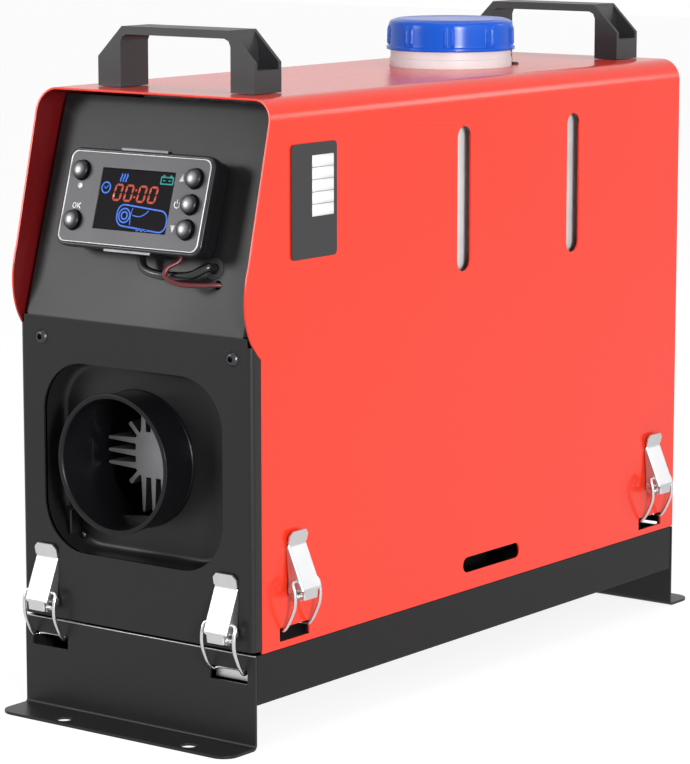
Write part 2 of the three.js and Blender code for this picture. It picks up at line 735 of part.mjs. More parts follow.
// ---------------------------------------------------------------- handles
function handle() {
  const half = handleWidth / 2;
  const low = shellTop + seat;
  const top = shellTop + handleRise;
  const shoulder = shellTop + handleChamferRise;
  const inner = half - legThickness;
  const under = top - gripThickness;
  const outline = polygon([[-half, low], [-inner, low], [-inner, under - handleCorner],
    [-inner + handleCorner * 0.3, under - handleCorner * 0.3], [-inner + handleCorner, under],
    [inner - handleCorner, under], [inner - handleCorner * 0.3, under - handleCorner * 0.3],
    [inner, under - handleCorner], [inner, low], [half, low], [half, shoulder],
    [half - handleChamferRun, top], [-half + handleChamferRun, top], [-half, shoulder]]);
  const depth = handleDepth / 2;
  const body = pull(outline, 'y', -depth, depth);
  const pockets = [-1, 1].map((side) => pull(polygon([
    [side * (inner + handleWall), shellTop + handleBlockRise],
    [side * (half + 5), shellTop + handleBlockRise],
    [side * (half + 5), top + 20], [side * (half - handleChamferRun + 1), top + 20],
    [side * (half - handleChamferRun + 1), top - 1], [side * (inner + handleWall), under - 4],
  ]), 'y', -depth + handleWall, depth - handleWall));
  return cut(body, ...pockets);
}

// ---------------------------------------------------------------- controller, in the frame of the slope
// Local frame: X along the slope's width, -Y out of the slope, Z up the slope from the fold.
const slope = new THREE.Group();
slope.position.set(0, baseFace, foldLevel);
slope.rotation.set(-slopeLean, 0, 0);
heater.add(slope);

function chamferedRect(width, height, corner) {
  const a = width / 2;
  const b = height / 2;
  return polygon([[-a + corner, -b], [a - corner, -b], [a, -b + corner], [a, b - corner], [a - corner, b],
    [-a + corner, b], [-a, b - corner], [-a, -b + corner]].map(([u, v]) => [u, v + controllerCentre]));
}

function controllerCase() {
  const front = -(faceOffset - faceThickness - seat);
  const back = -caseBackOffset;
  const outline = chamferedRect(faceWidth + 2 * bezel, faceHeight + 2 * bezel, faceCorner + 1);
  const outer = pull(outline, 'y', front, back);
  const rim = pull(chamferedRect(faceWidth - 2 * controllerWall, faceHeight - 2 * controllerWall, faceCorner),
    'y', front - 1, back - controllerWall);
  const clips = [-1, 1].map((side) => {
    const edge = controllerCentre + side * (faceHeight / 2 + bezel);
    const ends = [edge - side, edge + side * clipRise];
    return box(-clipWidth / 2, clipWidth / 2, front, front + clipDepth, Math.min(...ends), Math.max(...ends));
  });
  const leadPort = disc('z', leadExit[0], -leadExit[1], leadDiameter + 2 * slip,
    controllerCentre - faceHeight / 2 - bezel - 2, controllerCentre - faceHeight / 2 + 5, 10);
  const redPort = disc('z', redExit[0], -redExit[1], redLeadDiameter + 2 * slip,
    controllerCentre - faceHeight / 2 - bezel - 2, controllerCentre - faceHeight / 2 + 5, 10);
  return cut(join(cut(outer, rim), ...clips), leadPort, redPort);
}

function controllerFace() {
  const front = -faceOffset;
  const plate = pull(chamferedRect(faceWidth, faceHeight, faceCorner), 'y', front, front + faceThickness);
  const window = box(-screenWidth / 2 - slip, screenWidth / 2 + slip, front - 2, front + 4,
    controllerCentre - screenHeight / 2 - slip, controllerCentre + screenHeight / 2 + slip);
  const holes = Object.values(buttonPlaces).map(([x, z]) => disc('y', x, z + controllerCentre,
    buttonStem + 2 * slip, front - 2, front + 4, 10));
  return cut(plate, window, ...holes);
}

function controllerScreen() {
  const front = -faceOffset;
  const glass = box(-screenWidth / 2, screenWidth / 2, front + 0.4, front + faceThickness + 0.2,
    controllerCentre - screenHeight / 2, controllerCentre + screenHeight / 2);
  const back = box(-screenWidth / 2 - 2, screenWidth / 2 + 2, front + faceThickness + seat,
    -caseBackOffset - controllerWall - seat, controllerCentre - screenHeight / 2 - 2,
    controllerCentre + screenHeight / 2 + 2);
  const neck = box(-screenWidth / 2, screenWidth / 2, front + faceThickness, front + faceThickness + 1,
    controllerCentre - screenHeight / 2, controllerCentre + screenHeight / 2);
  return join(glass, neck, back);
}

function controllerButton() {
  const radius = buttonDiameter / 2;
  const low = buttonGap;
  const head = turned([[0, low], [radius, low], [radius, low + 0.8], [radius * 0.86, low + 1.7],
    [radius * 0.5, low + 2.5], [0, buttonProud + low - 0.2]], 16);
  const stem = toSolid(new THREE.CylinderGeometry(buttonStem / 2, buttonStem / 2, 7, 10)
    .rotateX(Math.PI / 2).translate(0, 0, low + 0.3 - 3.5));
  return join(head, stem);
}

function controllerBracket() {
  const outer = chamferedRect(bracketWidth, bracketHeight, bracketCorner);
  const rim = 2 * bracketFrame;
  const inner = chamferedRect(bracketWidth - rim, bracketHeight - rim, bracketCorner);
  return cut(pull(outer, 'y', seat - caseBackOffset, -seat), pull(inner, 'y', -caseBackOffset - 1, 1));
}

// A point of the whole heater in the frame of the slope.
function inSlope(x, y, z) {
  const dy = y - baseFace;
  const dz = z - foldLevel;
  const cos = Math.cos(slopeLean);
  const sin = Math.sin(slopeLean);
  return [x, dy * cos - dz * sin, dy * sin + dz * cos];
}

// The lead runs from the controller down, along under it and through the slope to the control unit.
function controllerLead() {
  const low = controllerCentre - faceHeight / 2 - bezel;
  return rod([[leadExit[0], -leadExit[1], low + 2.5], [leadExit[0], -leadExit[1], low - 1.5],
    [7.5, -9.5, low - 6.8], [16, -10.2, low - 9.4], [27, -9.4, low - 9.6],
    [38, -8, low - 8], [leadEntry[0] - 1.4, -6, leadEntry[1] - 0.6], [leadEntry[0], -3, leadEntry[1]],
    [leadEntry[0], 3, leadEntry[1]], inSlope(43, unitFront - 18, unitLevel + 22),
    inSlope(leadPlug, unitFront - 7, unitLevel), inSlope(leadPlug, unitFront - 3, unitLevel),
    inSlope(leadPlug, unitFront - seat, unitLevel)],
  leadDiameter, 40, 8);
}

function controllerLeadRed() {
  const low = controllerCentre - faceHeight / 2 - bezel;
  return rod([[redExit[0], -redExit[1], low + 2.5], [redExit[0] - 0.3, -redExit[1] - 1, low - 2],
    [27, -14.4, low - 6.5], [26.6, -15, low - 10.4], [33, -12.6, low - 13.4], [44, -6.6, low - 12.4],
    [redEntry[0], 0, redEntry[1]], [redEntry[0], 6, redEntry[1] - 2],
    inSlope(44, unitFront - 12, unitLevel + 8), inSlope(redPlug, unitFront - 6, unitLevel),
    inSlope(redPlug, unitFront - 3, unitLevel),
    inSlope(redPlug, unitFront - seat, unitLevel)], redLeadDiameter, 36, 5);
}

function leadGrommet() {
  return ring('y', leadEntry[0], leadEntry[1], 11.4, leadDiameter + 2 * seat + 0.4, -1.6, -seat, 16);
}

function controlUnit() {
  const low = ductCentre[1] + caseSize / 2 + seat;
  const end = redPlug + unitMargin;
  return box(end - unitWidth, end, unitFront, unitFront + unitLength, low, low + unitHeight);
}

// ---------------------------------------------------------------- draw latches
// Local frame of one latch: X along its width, -Y out of the wall, Z up from the window's upper edge.
function keeper() {
  const half = keeperWidth / 2;
  const plate = pull(roundedRect(0, 25.4, keeperWidth, 20, 2), 'y', -seat - keeperSheet, -seat, 1);
  const ears = [-1, 1].map((side) => {
    const outline = polygon([[-seat - 0.4, 15.4], [-pivotOut, pivotUp - 3], [-pivotOut - 2.1, pivotUp - 2.1],
      [-pivotOut - 3, pivotUp], [-pivotOut - 2.1, pivotUp + 2.1], [-pivotOut, pivotUp + 3.4],
      [-seat - 0.4, 34]]);
    const at = side * half;
    return pull(outline, 'x', Math.min(at, at - side * keeperSheet), Math.max(at, at - side * keeperSheet));
  });
  const pin = disc('x', -pivotOut, pivotUp, pivotPin, -latchWidth / 2 - 0.6, latchWidth / 2 + 0.6, 10);
  return join(plate, ...ears, pin);
}

function leverSkin(thickness) {
  const outer = [tabTop, tabBend, lowerCorner, lipEnd];
  const inner = [[lipEnd[0] - thickness, lipEnd[1]], [lowerCorner[0] - thickness - 0.1, lowerCorner[1] - 0.3],
    [tabBend[0] - thickness * 0.98, tabBend[1] - 0.2], [tabTop[0] - thickness, tabTop[1]]];
  return polygon([...outer, ...inner].map(([o, u]) => [-o, u]));
}

function lever() {
  const half = latchWidth / 2;
  const skin = pull(leverSkin(latchSheet), 'x', -half, half);
  const tabCut = [-1, 1].map((side) => pull(polygon([[side * half, tabTop[1] - 3.5],
    [side * (half + 1), tabTop[1] - 3.5], [side * (half + 1), tabTop[1] + 1],
    [side * (half - 3.5), tabTop[1] + 1], [side * (half - 3.5), tabTop[1]]]), 'y', -tabTop[0] - 3, 3));
  const cheeks = [-1, 1].map((side) => {
    const outline = polygon([[-2.4, 38.6], [-9.6, 21.6], [-10.6, 19.2], [-9.6, 12.9], [-6.4, 12.1],
      [-3.6, 14], [-2.2, 22], [-1.4, 36]]);
    const at = side * half;
    return pull(outline, 'x', Math.min(at, at - side * latchSheet), Math.max(at, at - side * latchSheet));
  });
  const pinHole = disc('x', -pivotOut, pivotUp, pivotPin + 2 * seat, -half - 1, half + 1, 10);
  const eyeHole = disc('x', -pivotOut, pivotUp + bailEyeUp, bailWire + 2 * seat, -half - 1, half + 1, 10);
  return cut(join(skin, ...cheeks), ...tabCut, pinHole, eyeHole);
}

function bail(hookDepth) {
  const side = bailWidth / 2;
  const eyeUp = pivotUp + bailEyeUp;
  const half = [[side - 3.9, -pivotOut, eyeUp], [side - 1.5, -pivotOut, eyeUp],
    [side - 0.2, -pivotOut - 0.5, eyeUp - 1], [side, -pivotOut - 2, eyeUp - 5], [side, -8, 12],
    [side, -5.6, 5.8], [side, -2.7, 0.5], [side, -0.2, -2.1], [side - 0.2, hookDepth - 1.2, -2.4],
    [side - 1.6, hookDepth, -2.4]];
  const mirrored = half.map(([x, y, z]) => [-x, y, z]).reverse();
  return rod([...half, ...mirrored], bailWire, 32, 6);
}

function addLatch(name, position, turn, hookDepth) {
  const place = new THREE.Group();
  place.position.set(...position);
  place.rotation.set(0, 0, turn);
  heater.add(place);
  addMesh(`${name}_keeper`, keeper(), brightSteel, place);
  addMesh(`${name}_lever`, lever(), brightSteel, place);
  addMesh(`${name}_bail`, bail(hookDepth), brightSteel, place);
}

// ---------------------------------------------------------------- assembly
addMesh('outer_shell', outerShell(), redCoat);
addMesh('front_panel', frontPanel(), blackCoat);
addMesh('recess_dish', recessDish(), blackCoat);
addMesh('rear_panel', rearPanel(), blackCoat);
addMesh('base_tray', baseTray(), blackCoat);
addMesh('front_foot', frontFoot(), blackCoat);
addMesh('rear_foot', foot(1, []), blackCoat);
addMesh('outlet_collar', outletCollar(), blackPlastic);
addMesh('heat_exchanger', heatExchanger(), castAluminium);
addMesh('heater_case', heaterCase(), blackPlastic);
addMesh('blower_motor', blowerMotor(), pumpMetal);
addMesh('blower_wheel', blowerWheel(), blackPlastic);
addMesh('exhaust_pipe', verticalPipe(0), castAluminium);
addMesh('intake_pipe', verticalPipe(1), blackPlastic);
addMesh('fuel_tank', fuelTank(), whitePlastic);
addMesh('fuel_pump', fuelPump(), pumpMetal);
addMesh('tank_hose', tankHose(), darkRubber);
addMesh('pump_hose', pumpHose(), darkRubber);
addMesh('control_unit', controlUnit(), blackPlastic);
placed('fuel_cap', fuelCap(), bluePlastic, [0, neckPlace, shellTop], [0, 0, 0]);
placed('cap_seal', capSeal(), darkRubber, [0, neckPlace, shellTop], [0, 0, 0]);
for (const [name, place] of Object.entries(handlePlaces)) {
  placed(name, handle(), blackPlastic, [0, place, 0], [0, 0, 0]);
}
for (const [index, [x, z]] of panelScrewPlaces.entries()) {
  const screw = buttonHeadScrew(panelScrew, screwLength, panelScrew / 2);
  placed(`panel_screw_${index ? 'right' : 'left'}`, screw, brightSteel, [x, baseFace - seat, z],
    [Math.PI / 2, 0, 0]);
}
for (const [name, x, z] of rearScrewSpots()) {
  placed(name, buttonHeadScrew(rearScrewDiameter, screwLength, rearScrewDiameter / 2), brightSteel,
    [x, rearFace + seat, z], [-Math.PI / 2, 0, 0]);
}
addMesh('controller_bracket', controllerBracket(), blackPlastic, slope);
addMesh('controller_case', controllerCase(), blackPlastic, slope);
addMesh('controller_face', controllerFace(), faceGrey, slope);
addMesh('controller_screen', controllerScreen(), screenGlass, slope);
for (const [name, [x, z]] of Object.entries(buttonPlaces)) {
  const spot = [x, -faceOffset, z + controllerCentre];
  placed(name, controllerButton(), buttonMetal, spot, [Math.PI / 2, 0, 0], slope);
}
addMesh('controller_lead', controllerLead(), darkRubber, slope);
addMesh('controller_lead_red', controllerLeadRed(), redWire, slope);
addMesh('lead_grommet', leadGrommet(), darkRubber, slope);
addMesh('rating_label', pull(roundedRect(...labelPlace, labelWidth, labelHeight, 2.5), 'x',
  halfWidth + seat, halfWidth + seat + labelThickness, 1), blackPlastic);
for (const [side, x] of [['left', -frontLatchSpread], ['right', frontLatchSpread]]) {
  addLatch(`front_${side}_latch`, [x, baseFace, frontLatchLevel], 0, frontHook);
}
for (const [end, y] of Object.entries(sideLatchPlaces)) {
  addLatch(`right_${end}_latch`, [halfWidth, y, sideLatchLevel], Math.PI / 2, sideHook);
  addLatch(`left_${end}_latch`, [-halfWidth, y, sideLatchLevel], -Math.PI / 2, sideHook);
}

export default heater;
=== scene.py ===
"""Portable diesel air heater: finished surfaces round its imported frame. Metres, +Z up, outlet towards -Y."""

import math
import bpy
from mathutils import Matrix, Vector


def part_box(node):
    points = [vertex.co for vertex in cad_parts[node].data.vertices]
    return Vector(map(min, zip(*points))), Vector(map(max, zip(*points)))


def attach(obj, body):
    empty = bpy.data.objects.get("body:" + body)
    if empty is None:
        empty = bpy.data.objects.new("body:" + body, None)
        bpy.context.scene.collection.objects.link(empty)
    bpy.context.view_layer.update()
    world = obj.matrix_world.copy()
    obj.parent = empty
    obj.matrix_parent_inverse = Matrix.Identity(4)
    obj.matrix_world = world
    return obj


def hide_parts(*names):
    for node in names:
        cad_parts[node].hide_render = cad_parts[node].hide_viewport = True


bl_info = {
    "name": "Diesel Air Heater Finish",
    "version": (1, 0, 0),
    "blender": (4, 5, 0),
    "location": "3D View > Sidebar > Air Heater",
    "description": "Makes the finished surfaces, the colours and the studio of a portable diesel air heater",
    "category": "Object",
}

import bmesh
import bpy
import numpy as np
from bpy.props import FloatProperty, FloatVectorProperty, IntProperty, PointerProperty
from bpy.types import Operator, Panel, PropertyGroup
from mathutils import Vector
from mathutils.geometry import delaunay_2d_cdt

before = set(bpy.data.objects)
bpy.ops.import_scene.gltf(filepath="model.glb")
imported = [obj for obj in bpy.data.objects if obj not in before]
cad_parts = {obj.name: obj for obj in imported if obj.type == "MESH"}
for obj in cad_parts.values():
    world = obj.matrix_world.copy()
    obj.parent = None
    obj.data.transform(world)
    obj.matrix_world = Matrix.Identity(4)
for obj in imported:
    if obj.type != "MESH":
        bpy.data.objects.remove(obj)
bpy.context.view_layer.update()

MM = 0.001


# ---------------------------------------------------------------- places on the heater
class Place:
    """A local frame. Its axes run across a face, up it and out of it."""

    def __init__(self, origin, across, up, out):
        self.origin = np.array(origin, float)
        self.axes = np.array([across, up, out], float)

    def __call__(self, points):
        return self.origin + np.asarray(points, float) @ self.axes

    def moved(self, across=0.0, up=0.0, out=0.0):
        return Place(self((across, up, out)), *self.axes)


def corners(node):
    """Lowest and highest corner of a solid."""
    return [np.array(corner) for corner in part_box(node)]


SHELL_LOW, SHELL_HIGH = corners("outer_shell")
PANEL_LOW, PANEL_HIGH = corners("front_panel")
LEAN = math.radians(16.8)
FACE = PANEL_LOW[1]
FOLD = 209.5 * MM
MIDDLE_LEVEL = 160 * MM
SLOPE_LENGTH = 117.5 * MM
DUCT = np.array([-8.5, 138.1]) * MM
FRONT = Place((0, 0, 0), (1, 0, 0), (0, 0, 1), (0, -1, 0))
REAR = Place((0, 0, 0), (-1, 0, 0), (0, 0, 1), (0, 1, 0))
RIGHT = Place((0, 0, 0), (0, 1, 0), (0, 0, 1), (1, 0, 0))
LEFT = Place((0, 0, 0), (0, -1, 0), (0, 0, 1), (-1, 0, 0))
TOP = Place((0, 0, 0), (1, 0, 0), (0, 1, 0), (0, 0, 1))
SLOPE = Place((0, FACE, FOLD), (1, 0, 0), (0, math.sin(LEAN), math.cos(LEAN)),
              (0, -math.cos(LEAN), math.sin(LEAN)))

LATCH_WINDOW = (24.6 * MM, 7 * MM)
FRONT_LATCH = (60.3 * MM, 40.5 * MM)
SIDE_LATCHES = {"front": -167.4 * MM, "rear": 174 * MM}
SIDE_LATCH_LEVEL = 59.5 * MM


# ---------------------------------------------------------------- sizes and colours a user would change
def length(name, description, default, least):
    """A size setting in metres."""
    return FloatProperty(name=name, description=description, default=default, min=least, unit="LENGTH")


class HeaterSizes(PropertyGroup):
    """Sizes of the finish."""

    sheet_edge: length("Sheet edge", "Rounding along the cut edges of sheet metal", 0.25 * MM, 0)
    roof_bend: length("Roof bend", "Outer radius of the two bends along the roof", 12 * MM, 2 * MM)
    shell_sheet: length("Shell sheet", "Thickness of the red sheet", 1.2 * MM, 0.5 * MM)
    foot_sheet: length("Foot sheet", "Thickness of the black feet", 1.5 * MM, 0.5 * MM)
    bail_wire: length("Bail wire", "Diameter of the wire of the latch bails", 2 * MM, 0.5 * MM)
    lever_sheet: length("Lever sheet", "Thickness of the pressed latch levers", 0.9 * MM, 0.3 * MM)
    rib_pairs: IntProperty(name="Rib pairs", description="Pairs of grip ribs round the fuel cap",
                           default=9, min=3, max=24)
    rib_height: length("Rib height", "Height of a grip rib of the fuel cap", 0.8 * MM, 0)


def colour(name, description, value):
    """A colour setting."""
    return FloatVectorProperty(name=name, description=description, default=value, size=3, subtype="COLOR",
                               min=0.0, max=1.0)


class HeaterColours(PropertyGroup):
    """Colours of the finish."""

    red: colour("Red coat", "Powder coat of the housing", (0.82, 0.034, 0.012))
    black: colour("Black coat", "Powder coat of the base and the panels", (0.0125, 0.0125, 0.0135))
    plastic: colour("Black plastic", "Handles, collar and controller", (0.024, 0.024, 0.026))
    blue: colour("Blue plastic", "Fuel cap", (0.004, 0.095, 0.60))
    white: colour("Tank plastic", "Fuel tank and its neck", (0.70, 0.70, 0.70))
    steel: colour("Steel", "Latches", (0.56, 0.56, 0.57))
    film: colour("Controller film", "Grey film of the controller", (0.075, 0.072, 0.078))
    digits: colour("Digits", "Lit digits of the display", (0.42, 0.046, 0.018))
    signs: colour("Signs", "Lit blue signs of the display", (0.03, 0.14, 0.62))


# ---------------------------------------------------------------- curves and loops
def unit(vector):
    """The vector at length 1."""
    return vector / np.linalg.norm(vector)


def arc(centre, radius, start, stop, count):
    """Points at equal steps of angle round a centre, from start to stop."""
    angle = np.linspace(start, stop, count)
    return np.column_stack([centre[0] + radius * np.cos(angle), centre[1] + radius * np.sin(angle)])


def ring(centre, radius, count=48):
    """Closed circle."""
    return arc(centre, radius, 0, 2 * math.pi, count + 1)[:-1]


def rounded_box(centre, width, height, radius, count=9):
    """Closed loop of a rectangle whose corners are quarter circles."""
    a, b = width / 2 - radius, height / 2 - radius
    quarter = math.pi / 2
    signs = [(1, 1), (-1, 1), (-1, -1), (1, -1)]
    parts = [arc((centre[0] + u * a, centre[1] + v * b), radius, k * quarter, (k + 1) * quarter, count)
             for k, (u, v) in enumerate(signs)]
    loop = np.concatenate(parts)
    step = np.linalg.norm(loop - np.roll(loop, 1, axis=0), axis=1)
    return loop[step > 1e-6]


def arched(half, low, top, radius):
    """Closed loop of a rectangle whose two upper corners are quarter circles."""
    quarter = math.pi / 2
    return np.concatenate([[(-half, low), (half, low)], *(
        arc((side * (half - radius), top - radius), radius, start, start + quarter, 9)
        for side, start in ((1, 0), (-1, quarter)))])


def rounded(points, radii, count=7):
    """Line through points whose inner corners are arcs.

    An arc touches both legs at radius / tan(half the corner's angle) from the corner. Its points divide the
    turn evenly about a centre on the corner's bisector.
    """
    points = np.array(points, float)
    line = [points[:1]]
    for before, corner, after, radius in zip(points, points[1:], points[2:],
                                             np.broadcast_to(radii, len(points) - 2)):
        u, v = unit(before - corner), unit(after - corner)
        half = math.acos(np.clip(u @ v, -1, 1)) / 2
        if radius == 0 or half > math.pi / 2 - 1e-4:
            line.append(corner[None])
            continue
        centre = corner + unit(u + v) * radius / math.sin(half)
        first = corner + u * radius / math.tan(half) - centre
        last = corner + v * radius / math.tan(half) - centre
        turn = math.pi - 2 * half
        share = np.linspace(0, 1, count)[:, None]
        spoke = np.sin((1 - share) * turn) * first + np.sin(share * turn) * last
        line.append(centre + spoke / math.sin(turn))
    line.append(points[-1:])
    return np.concatenate(line)


def rounded_loop(points, radii, count=7):
    """Closed line whose corners are arcs: it starts and ends halfway along its last side."""
    points = np.array(points, float)
    seam = (points[-1] + points[0]) / 2
    return rounded(np.concatenate([[seam], points, [seam]]), radii, count)[:-1]


def spaced(line, step):
    """Line with extra points, so that no two lie further apart than the step."""
    gap = np.linalg.norm(np.diff(line, axis=0), axis=1)
    parts = [np.linspace(a, b, max(1, math.ceil(length / step)), endpoint=False)
             for a, b, length in zip(line, line[1:], gap)]
    return np.concatenate([*parts, line[-1:]])


def curve_through(points, count):
    """Centripetal Catmull-Rom curve: knots are the square roots of the chords, summed."""
    points = np.array(points, float)
    points = np.concatenate([[2 * points[0] - points[1]], points, [2 * points[-1] - points[-2]]])
    knots = np.concatenate([[0], np.cumsum(np.sqrt(np.linalg.norm(np.diff(points, axis=0), axis=1)))])
    at = np.linspace(knots[1], knots[-2], count)
    k = np.clip(np.searchsorted(knots, at, side="right") - 1, 1, len(points) - 3)

    def mix(a, b, low, high):
        share = ((at - low) / (high - low))[:, None]
        return a * (1 - share) + b * share

    p0, p1, p2, p3 = (points[k + shift] for shift in (-1, 0, 1, 2))
    t0, t1, t2, t3 = (knots[k + shift] for shift in (-1, 0, 1, 2))
    a1, a2, a3 = mix(p0, p1, t0, t1), mix(p1, p2, t1, t2), mix(p2, p3, t2, t3)
    return mix(mix(a1, a2, t0, t2), mix(a2, a3, t1, t3), t1, t2)


# ---------------------------------------------------------------- meshes
def grid_faces(rows, columns, round_rows=False, round_columns=True):
    """Quads between neighbouring points of a grid, which may close on itself either way."""
    row = np.arange(rows if round_rows else rows - 1)[:, None]
    column = np.arange(columns if round_columns else columns - 1)[None, :]
    below, beside = (row + 1) % rows, (column + 1) % columns
    here, there = row * columns, below * columns
    quads = [here + column, here + beside, there + beside, there + column]
    return np.stack(quads, axis=-1).reshape(-1, 4)


def shown(name, mesh):
    """Object of a smooth mesh, in the scene."""
    mesh.shade_smooth()
    piece = bpy.data.objects.new(name, mesh)
    bpy.context.scene.collection.objects.link(piece)
    return piece


def put_mesh(name, points, faces):
    """Object from arrays, with unused points dropped, doubles merged and faces turned outwards."""
    used, blocks = np.unique(np.concatenate([block.ravel() for block in faces]), return_inverse=True)
    ends = np.cumsum([block.size for block in faces])[:-1]
    blocks = [flat.reshape(block.shape) for flat, block in zip(np.split(blocks.ravel(), ends), faces)]
    mesh = bpy.data.meshes.new(name)
    mesh.from_pydata(points[used].tolist(), [], [face for block in blocks for face in block.tolist()])
    work = bmesh.new()
    work.from_mesh(mesh)
    bmesh.ops.remove_doubles(work, verts=work.verts, dist=1e-6)
    bmesh.ops.recalc_face_normals(work, faces=work.faces)
    work.to_mesh(mesh)
    work.free()
    return shown(name, mesh)


def inside(points, loops):
    """Even-odd rule: a point is inside where a ray to the right crosses the loops an odd number of times."""
    x, y = points[:, :1], points[:, 1:]
    crossings = np.zeros(len(points), int)
    for loop in loops:
        (x0, y0), (x1, y1) = loop.T, np.roll(loop, -1, axis=0).T
        rise = np.where(y1 == y0, 1.0, y1 - y0)
        crossings += (((y0 > y) != (y1 > y)) & (x < x0 + (y - y0) * (x1 - x0) / rise)).sum(axis=1)
    return crossings % 2 == 1


def figure(loops, rulings=()):
    """Triangles of a flat figure with holes, split along straight rulings."""
    groups = [*loops, *rulings]
    starts = np.cumsum([0] + [len(group) for group in groups])
    edges = []
    for group, start in zip(groups, starts):
        index = start + np.arange(len(group))
        closed = np.column_stack([index, np.roll(index, -1)])
        edges.append(closed if len(group) > 2 else closed[:1])
    flat = [Vector(point) for point in (np.concatenate(groups) / MM).tolist()]
    found = delaunay_2d_cdt(flat, np.concatenate(edges).tolist(), [], 0, 1e-4)
    points = np.array([tuple(point) for point in found[0]]) * MM
    triangles = np.array(found[2])
    return points, triangles[inside(points[triangles].mean(axis=1), loops)]


def sheet(name, loops, fold, rulings=()):
    """Folded sheet: the flat figure at both sides of the sheet, and a wall along its open edges.

    fold gives the two sides' points for the figure's points.
    """
    flat, faces = figure(loops, rulings)
    outer, inner = fold(flat)
    sides = np.concatenate([faces[:, [0, 1]], faces[:, [1, 2]], faces[:, [2, 0]]])
    _, first, uses = np.unique(np.sort(sides, axis=1), axis=0, return_index=True, return_counts=True)
    rim = sides[first[uses == 1]]
    count = len(flat)
    walls = np.column_stack([rim[:, 1], rim[:, 0], rim[:, 0] + count, rim[:, 1] + count])
    return put_mesh(name, np.concatenate([outer, inner]), [faces, faces[:, ::-1] + count, walls])


def raised(flat, height):
    """Flat points at one height."""
    return np.column_stack([flat, np.full(len(flat), height)])


def plate(name, loops, place, low, high):
    """Flat figure with holes, pulled from low to high out of a face."""
    return sheet(name, loops, lambda flat: (place(raised(flat, high)), place(raised(flat, low))))


def lathe(name, profile, place, sides=96, swell=None):
    """Surface of revolution about a place's third axis.

    Point (i, j) has the profile's radius i, plus its swell there, in direction j and the profile's height i.
    A profile that doesn't start and end on the axis closes on itself.
    """
    profile = np.array(profile, float)
    angle = np.linspace(0, 2 * math.pi, sides, endpoint=False)
    radius = np.repeat(profile[:, :1], sides, axis=1)
    if swell:
        radius = radius + swell(profile, angle)
    height = np.repeat(profile[:, 1:], sides, axis=1)
    points = np.stack([radius * np.cos(angle), radius * np.sin(angle), height], axis=-1).reshape(-1, 3)
    is_ring = profile[0, 0] > 0 or profile[-1, 0] > 0
    return put_mesh(name, place(points), [grid_faces(len(profile), sides, round_rows=is_ring)])


def band(name, loop_at, section, place):
    """Closed section carried round a loop: its point (inset, out) gives the loop drawn in by the inset."""
    rows = [raised(loop_at(inset), out) for inset, out in section]
    points = place(np.concatenate(rows))
    return put_mesh(name, points, [grid_faces(len(rows), len(rows[0]), round_rows=True)])


def loft(name, loops, place):
    """Skin over loops of equal length, from the first to the last, with both ends closed."""
    rows, columns = len(loops), len(loops[0])
    last = (rows - 1) * columns
    caps = [np.arange(columns)[None, ::-1], last + np.arange(columns)[None]]
    return put_mesh(name, place(np.concatenate(loops)), [grid_faces(rows, columns), *caps])


def tube(name, path, diameter, sides=14):
    """Round rod along a path.

    Each ring stands square to the path; its first direction is the last ring's, less the part along the path.
    """
    heading = np.gradient(path, axis=0)
    heading /= np.linalg.norm(heading, axis=1)[:, None]
    first = np.empty_like(path)
    direction = unit(np.cross(heading[0], (0.36, 0.48, 0.8)))
    for index, ahead in enumerate(heading):
        direction = unit(direction - ahead * (direction @ ahead))
        first[index] = direction
    second = np.cross(heading, first)
    angle = np.linspace(0, 2 * math.pi, sides, endpoint=False)[None, :, None]
    rings = path[:, None] + diameter / 2 * (np.cos(angle) * first[:, None] + np.sin(angle) * second[:, None])
    last = (len(path) - 1) * sides
    caps = [np.arange(sides)[None, ::-1], last + np.arange(sides)[None]]
    return put_mesh(name, rings.reshape(-1, 3), [grid_faces(len(path), sides), *caps])


def soften(piece, width, segments=2, angle=32):
    """Rounds the sharp edges and evens out the shading of the flats."""
    rounding = piece.modifiers.new("rounded edges", "BEVEL")
    rounding.width = width
    rounding.segments = segments
    rounding.limit_method = "ANGLE"
    rounding.angle_limit = math.radians(angle)
    shading = piece.modifiers.new("even shading", "WEIGHTED_NORMAL")
    shading.keep_sharp = True
    return piece


def hard_edges(piece, angle=40):
    """Marks edges sharper than the angle, so that smooth shading stops there."""
    piece.data.set_sharp_from_angle(angle=math.radians(angle))
    return piece


def merged_copy(node, name, width, segments=2):
    """Copy of a solid with its triangles joined into whole faces and its edges rounded."""
    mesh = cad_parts[node].data.copy()
    mesh.materials.clear()
    work = bmesh.new()
    work.from_mesh(mesh)
    bmesh.ops.remove_doubles(work, verts=work.verts, dist=1e-6)
    bmesh.ops.dissolve_limit(work, angle_limit=math.radians(1), verts=work.verts, edges=work.edges)
    work.to_mesh(mesh)
    work.free()
    mesh.name = name
    return soften(shown(name, mesh), width, segments)


MATERIALS = {}


def paint(piece, finish):
    """Gives a piece one material, by the name of its finish."""
    piece.data.materials.clear()
    piece.data.materials.append(MATERIALS[finish])


def settle(piece, finish, slot, *nodes, body="housing"):
    """Gives a piece its finish and its body, and hides the solids that it stands for. The slot is not used."""
    paint(piece, finish)
    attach(piece, body)
    if nodes:
        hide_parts(*nodes)


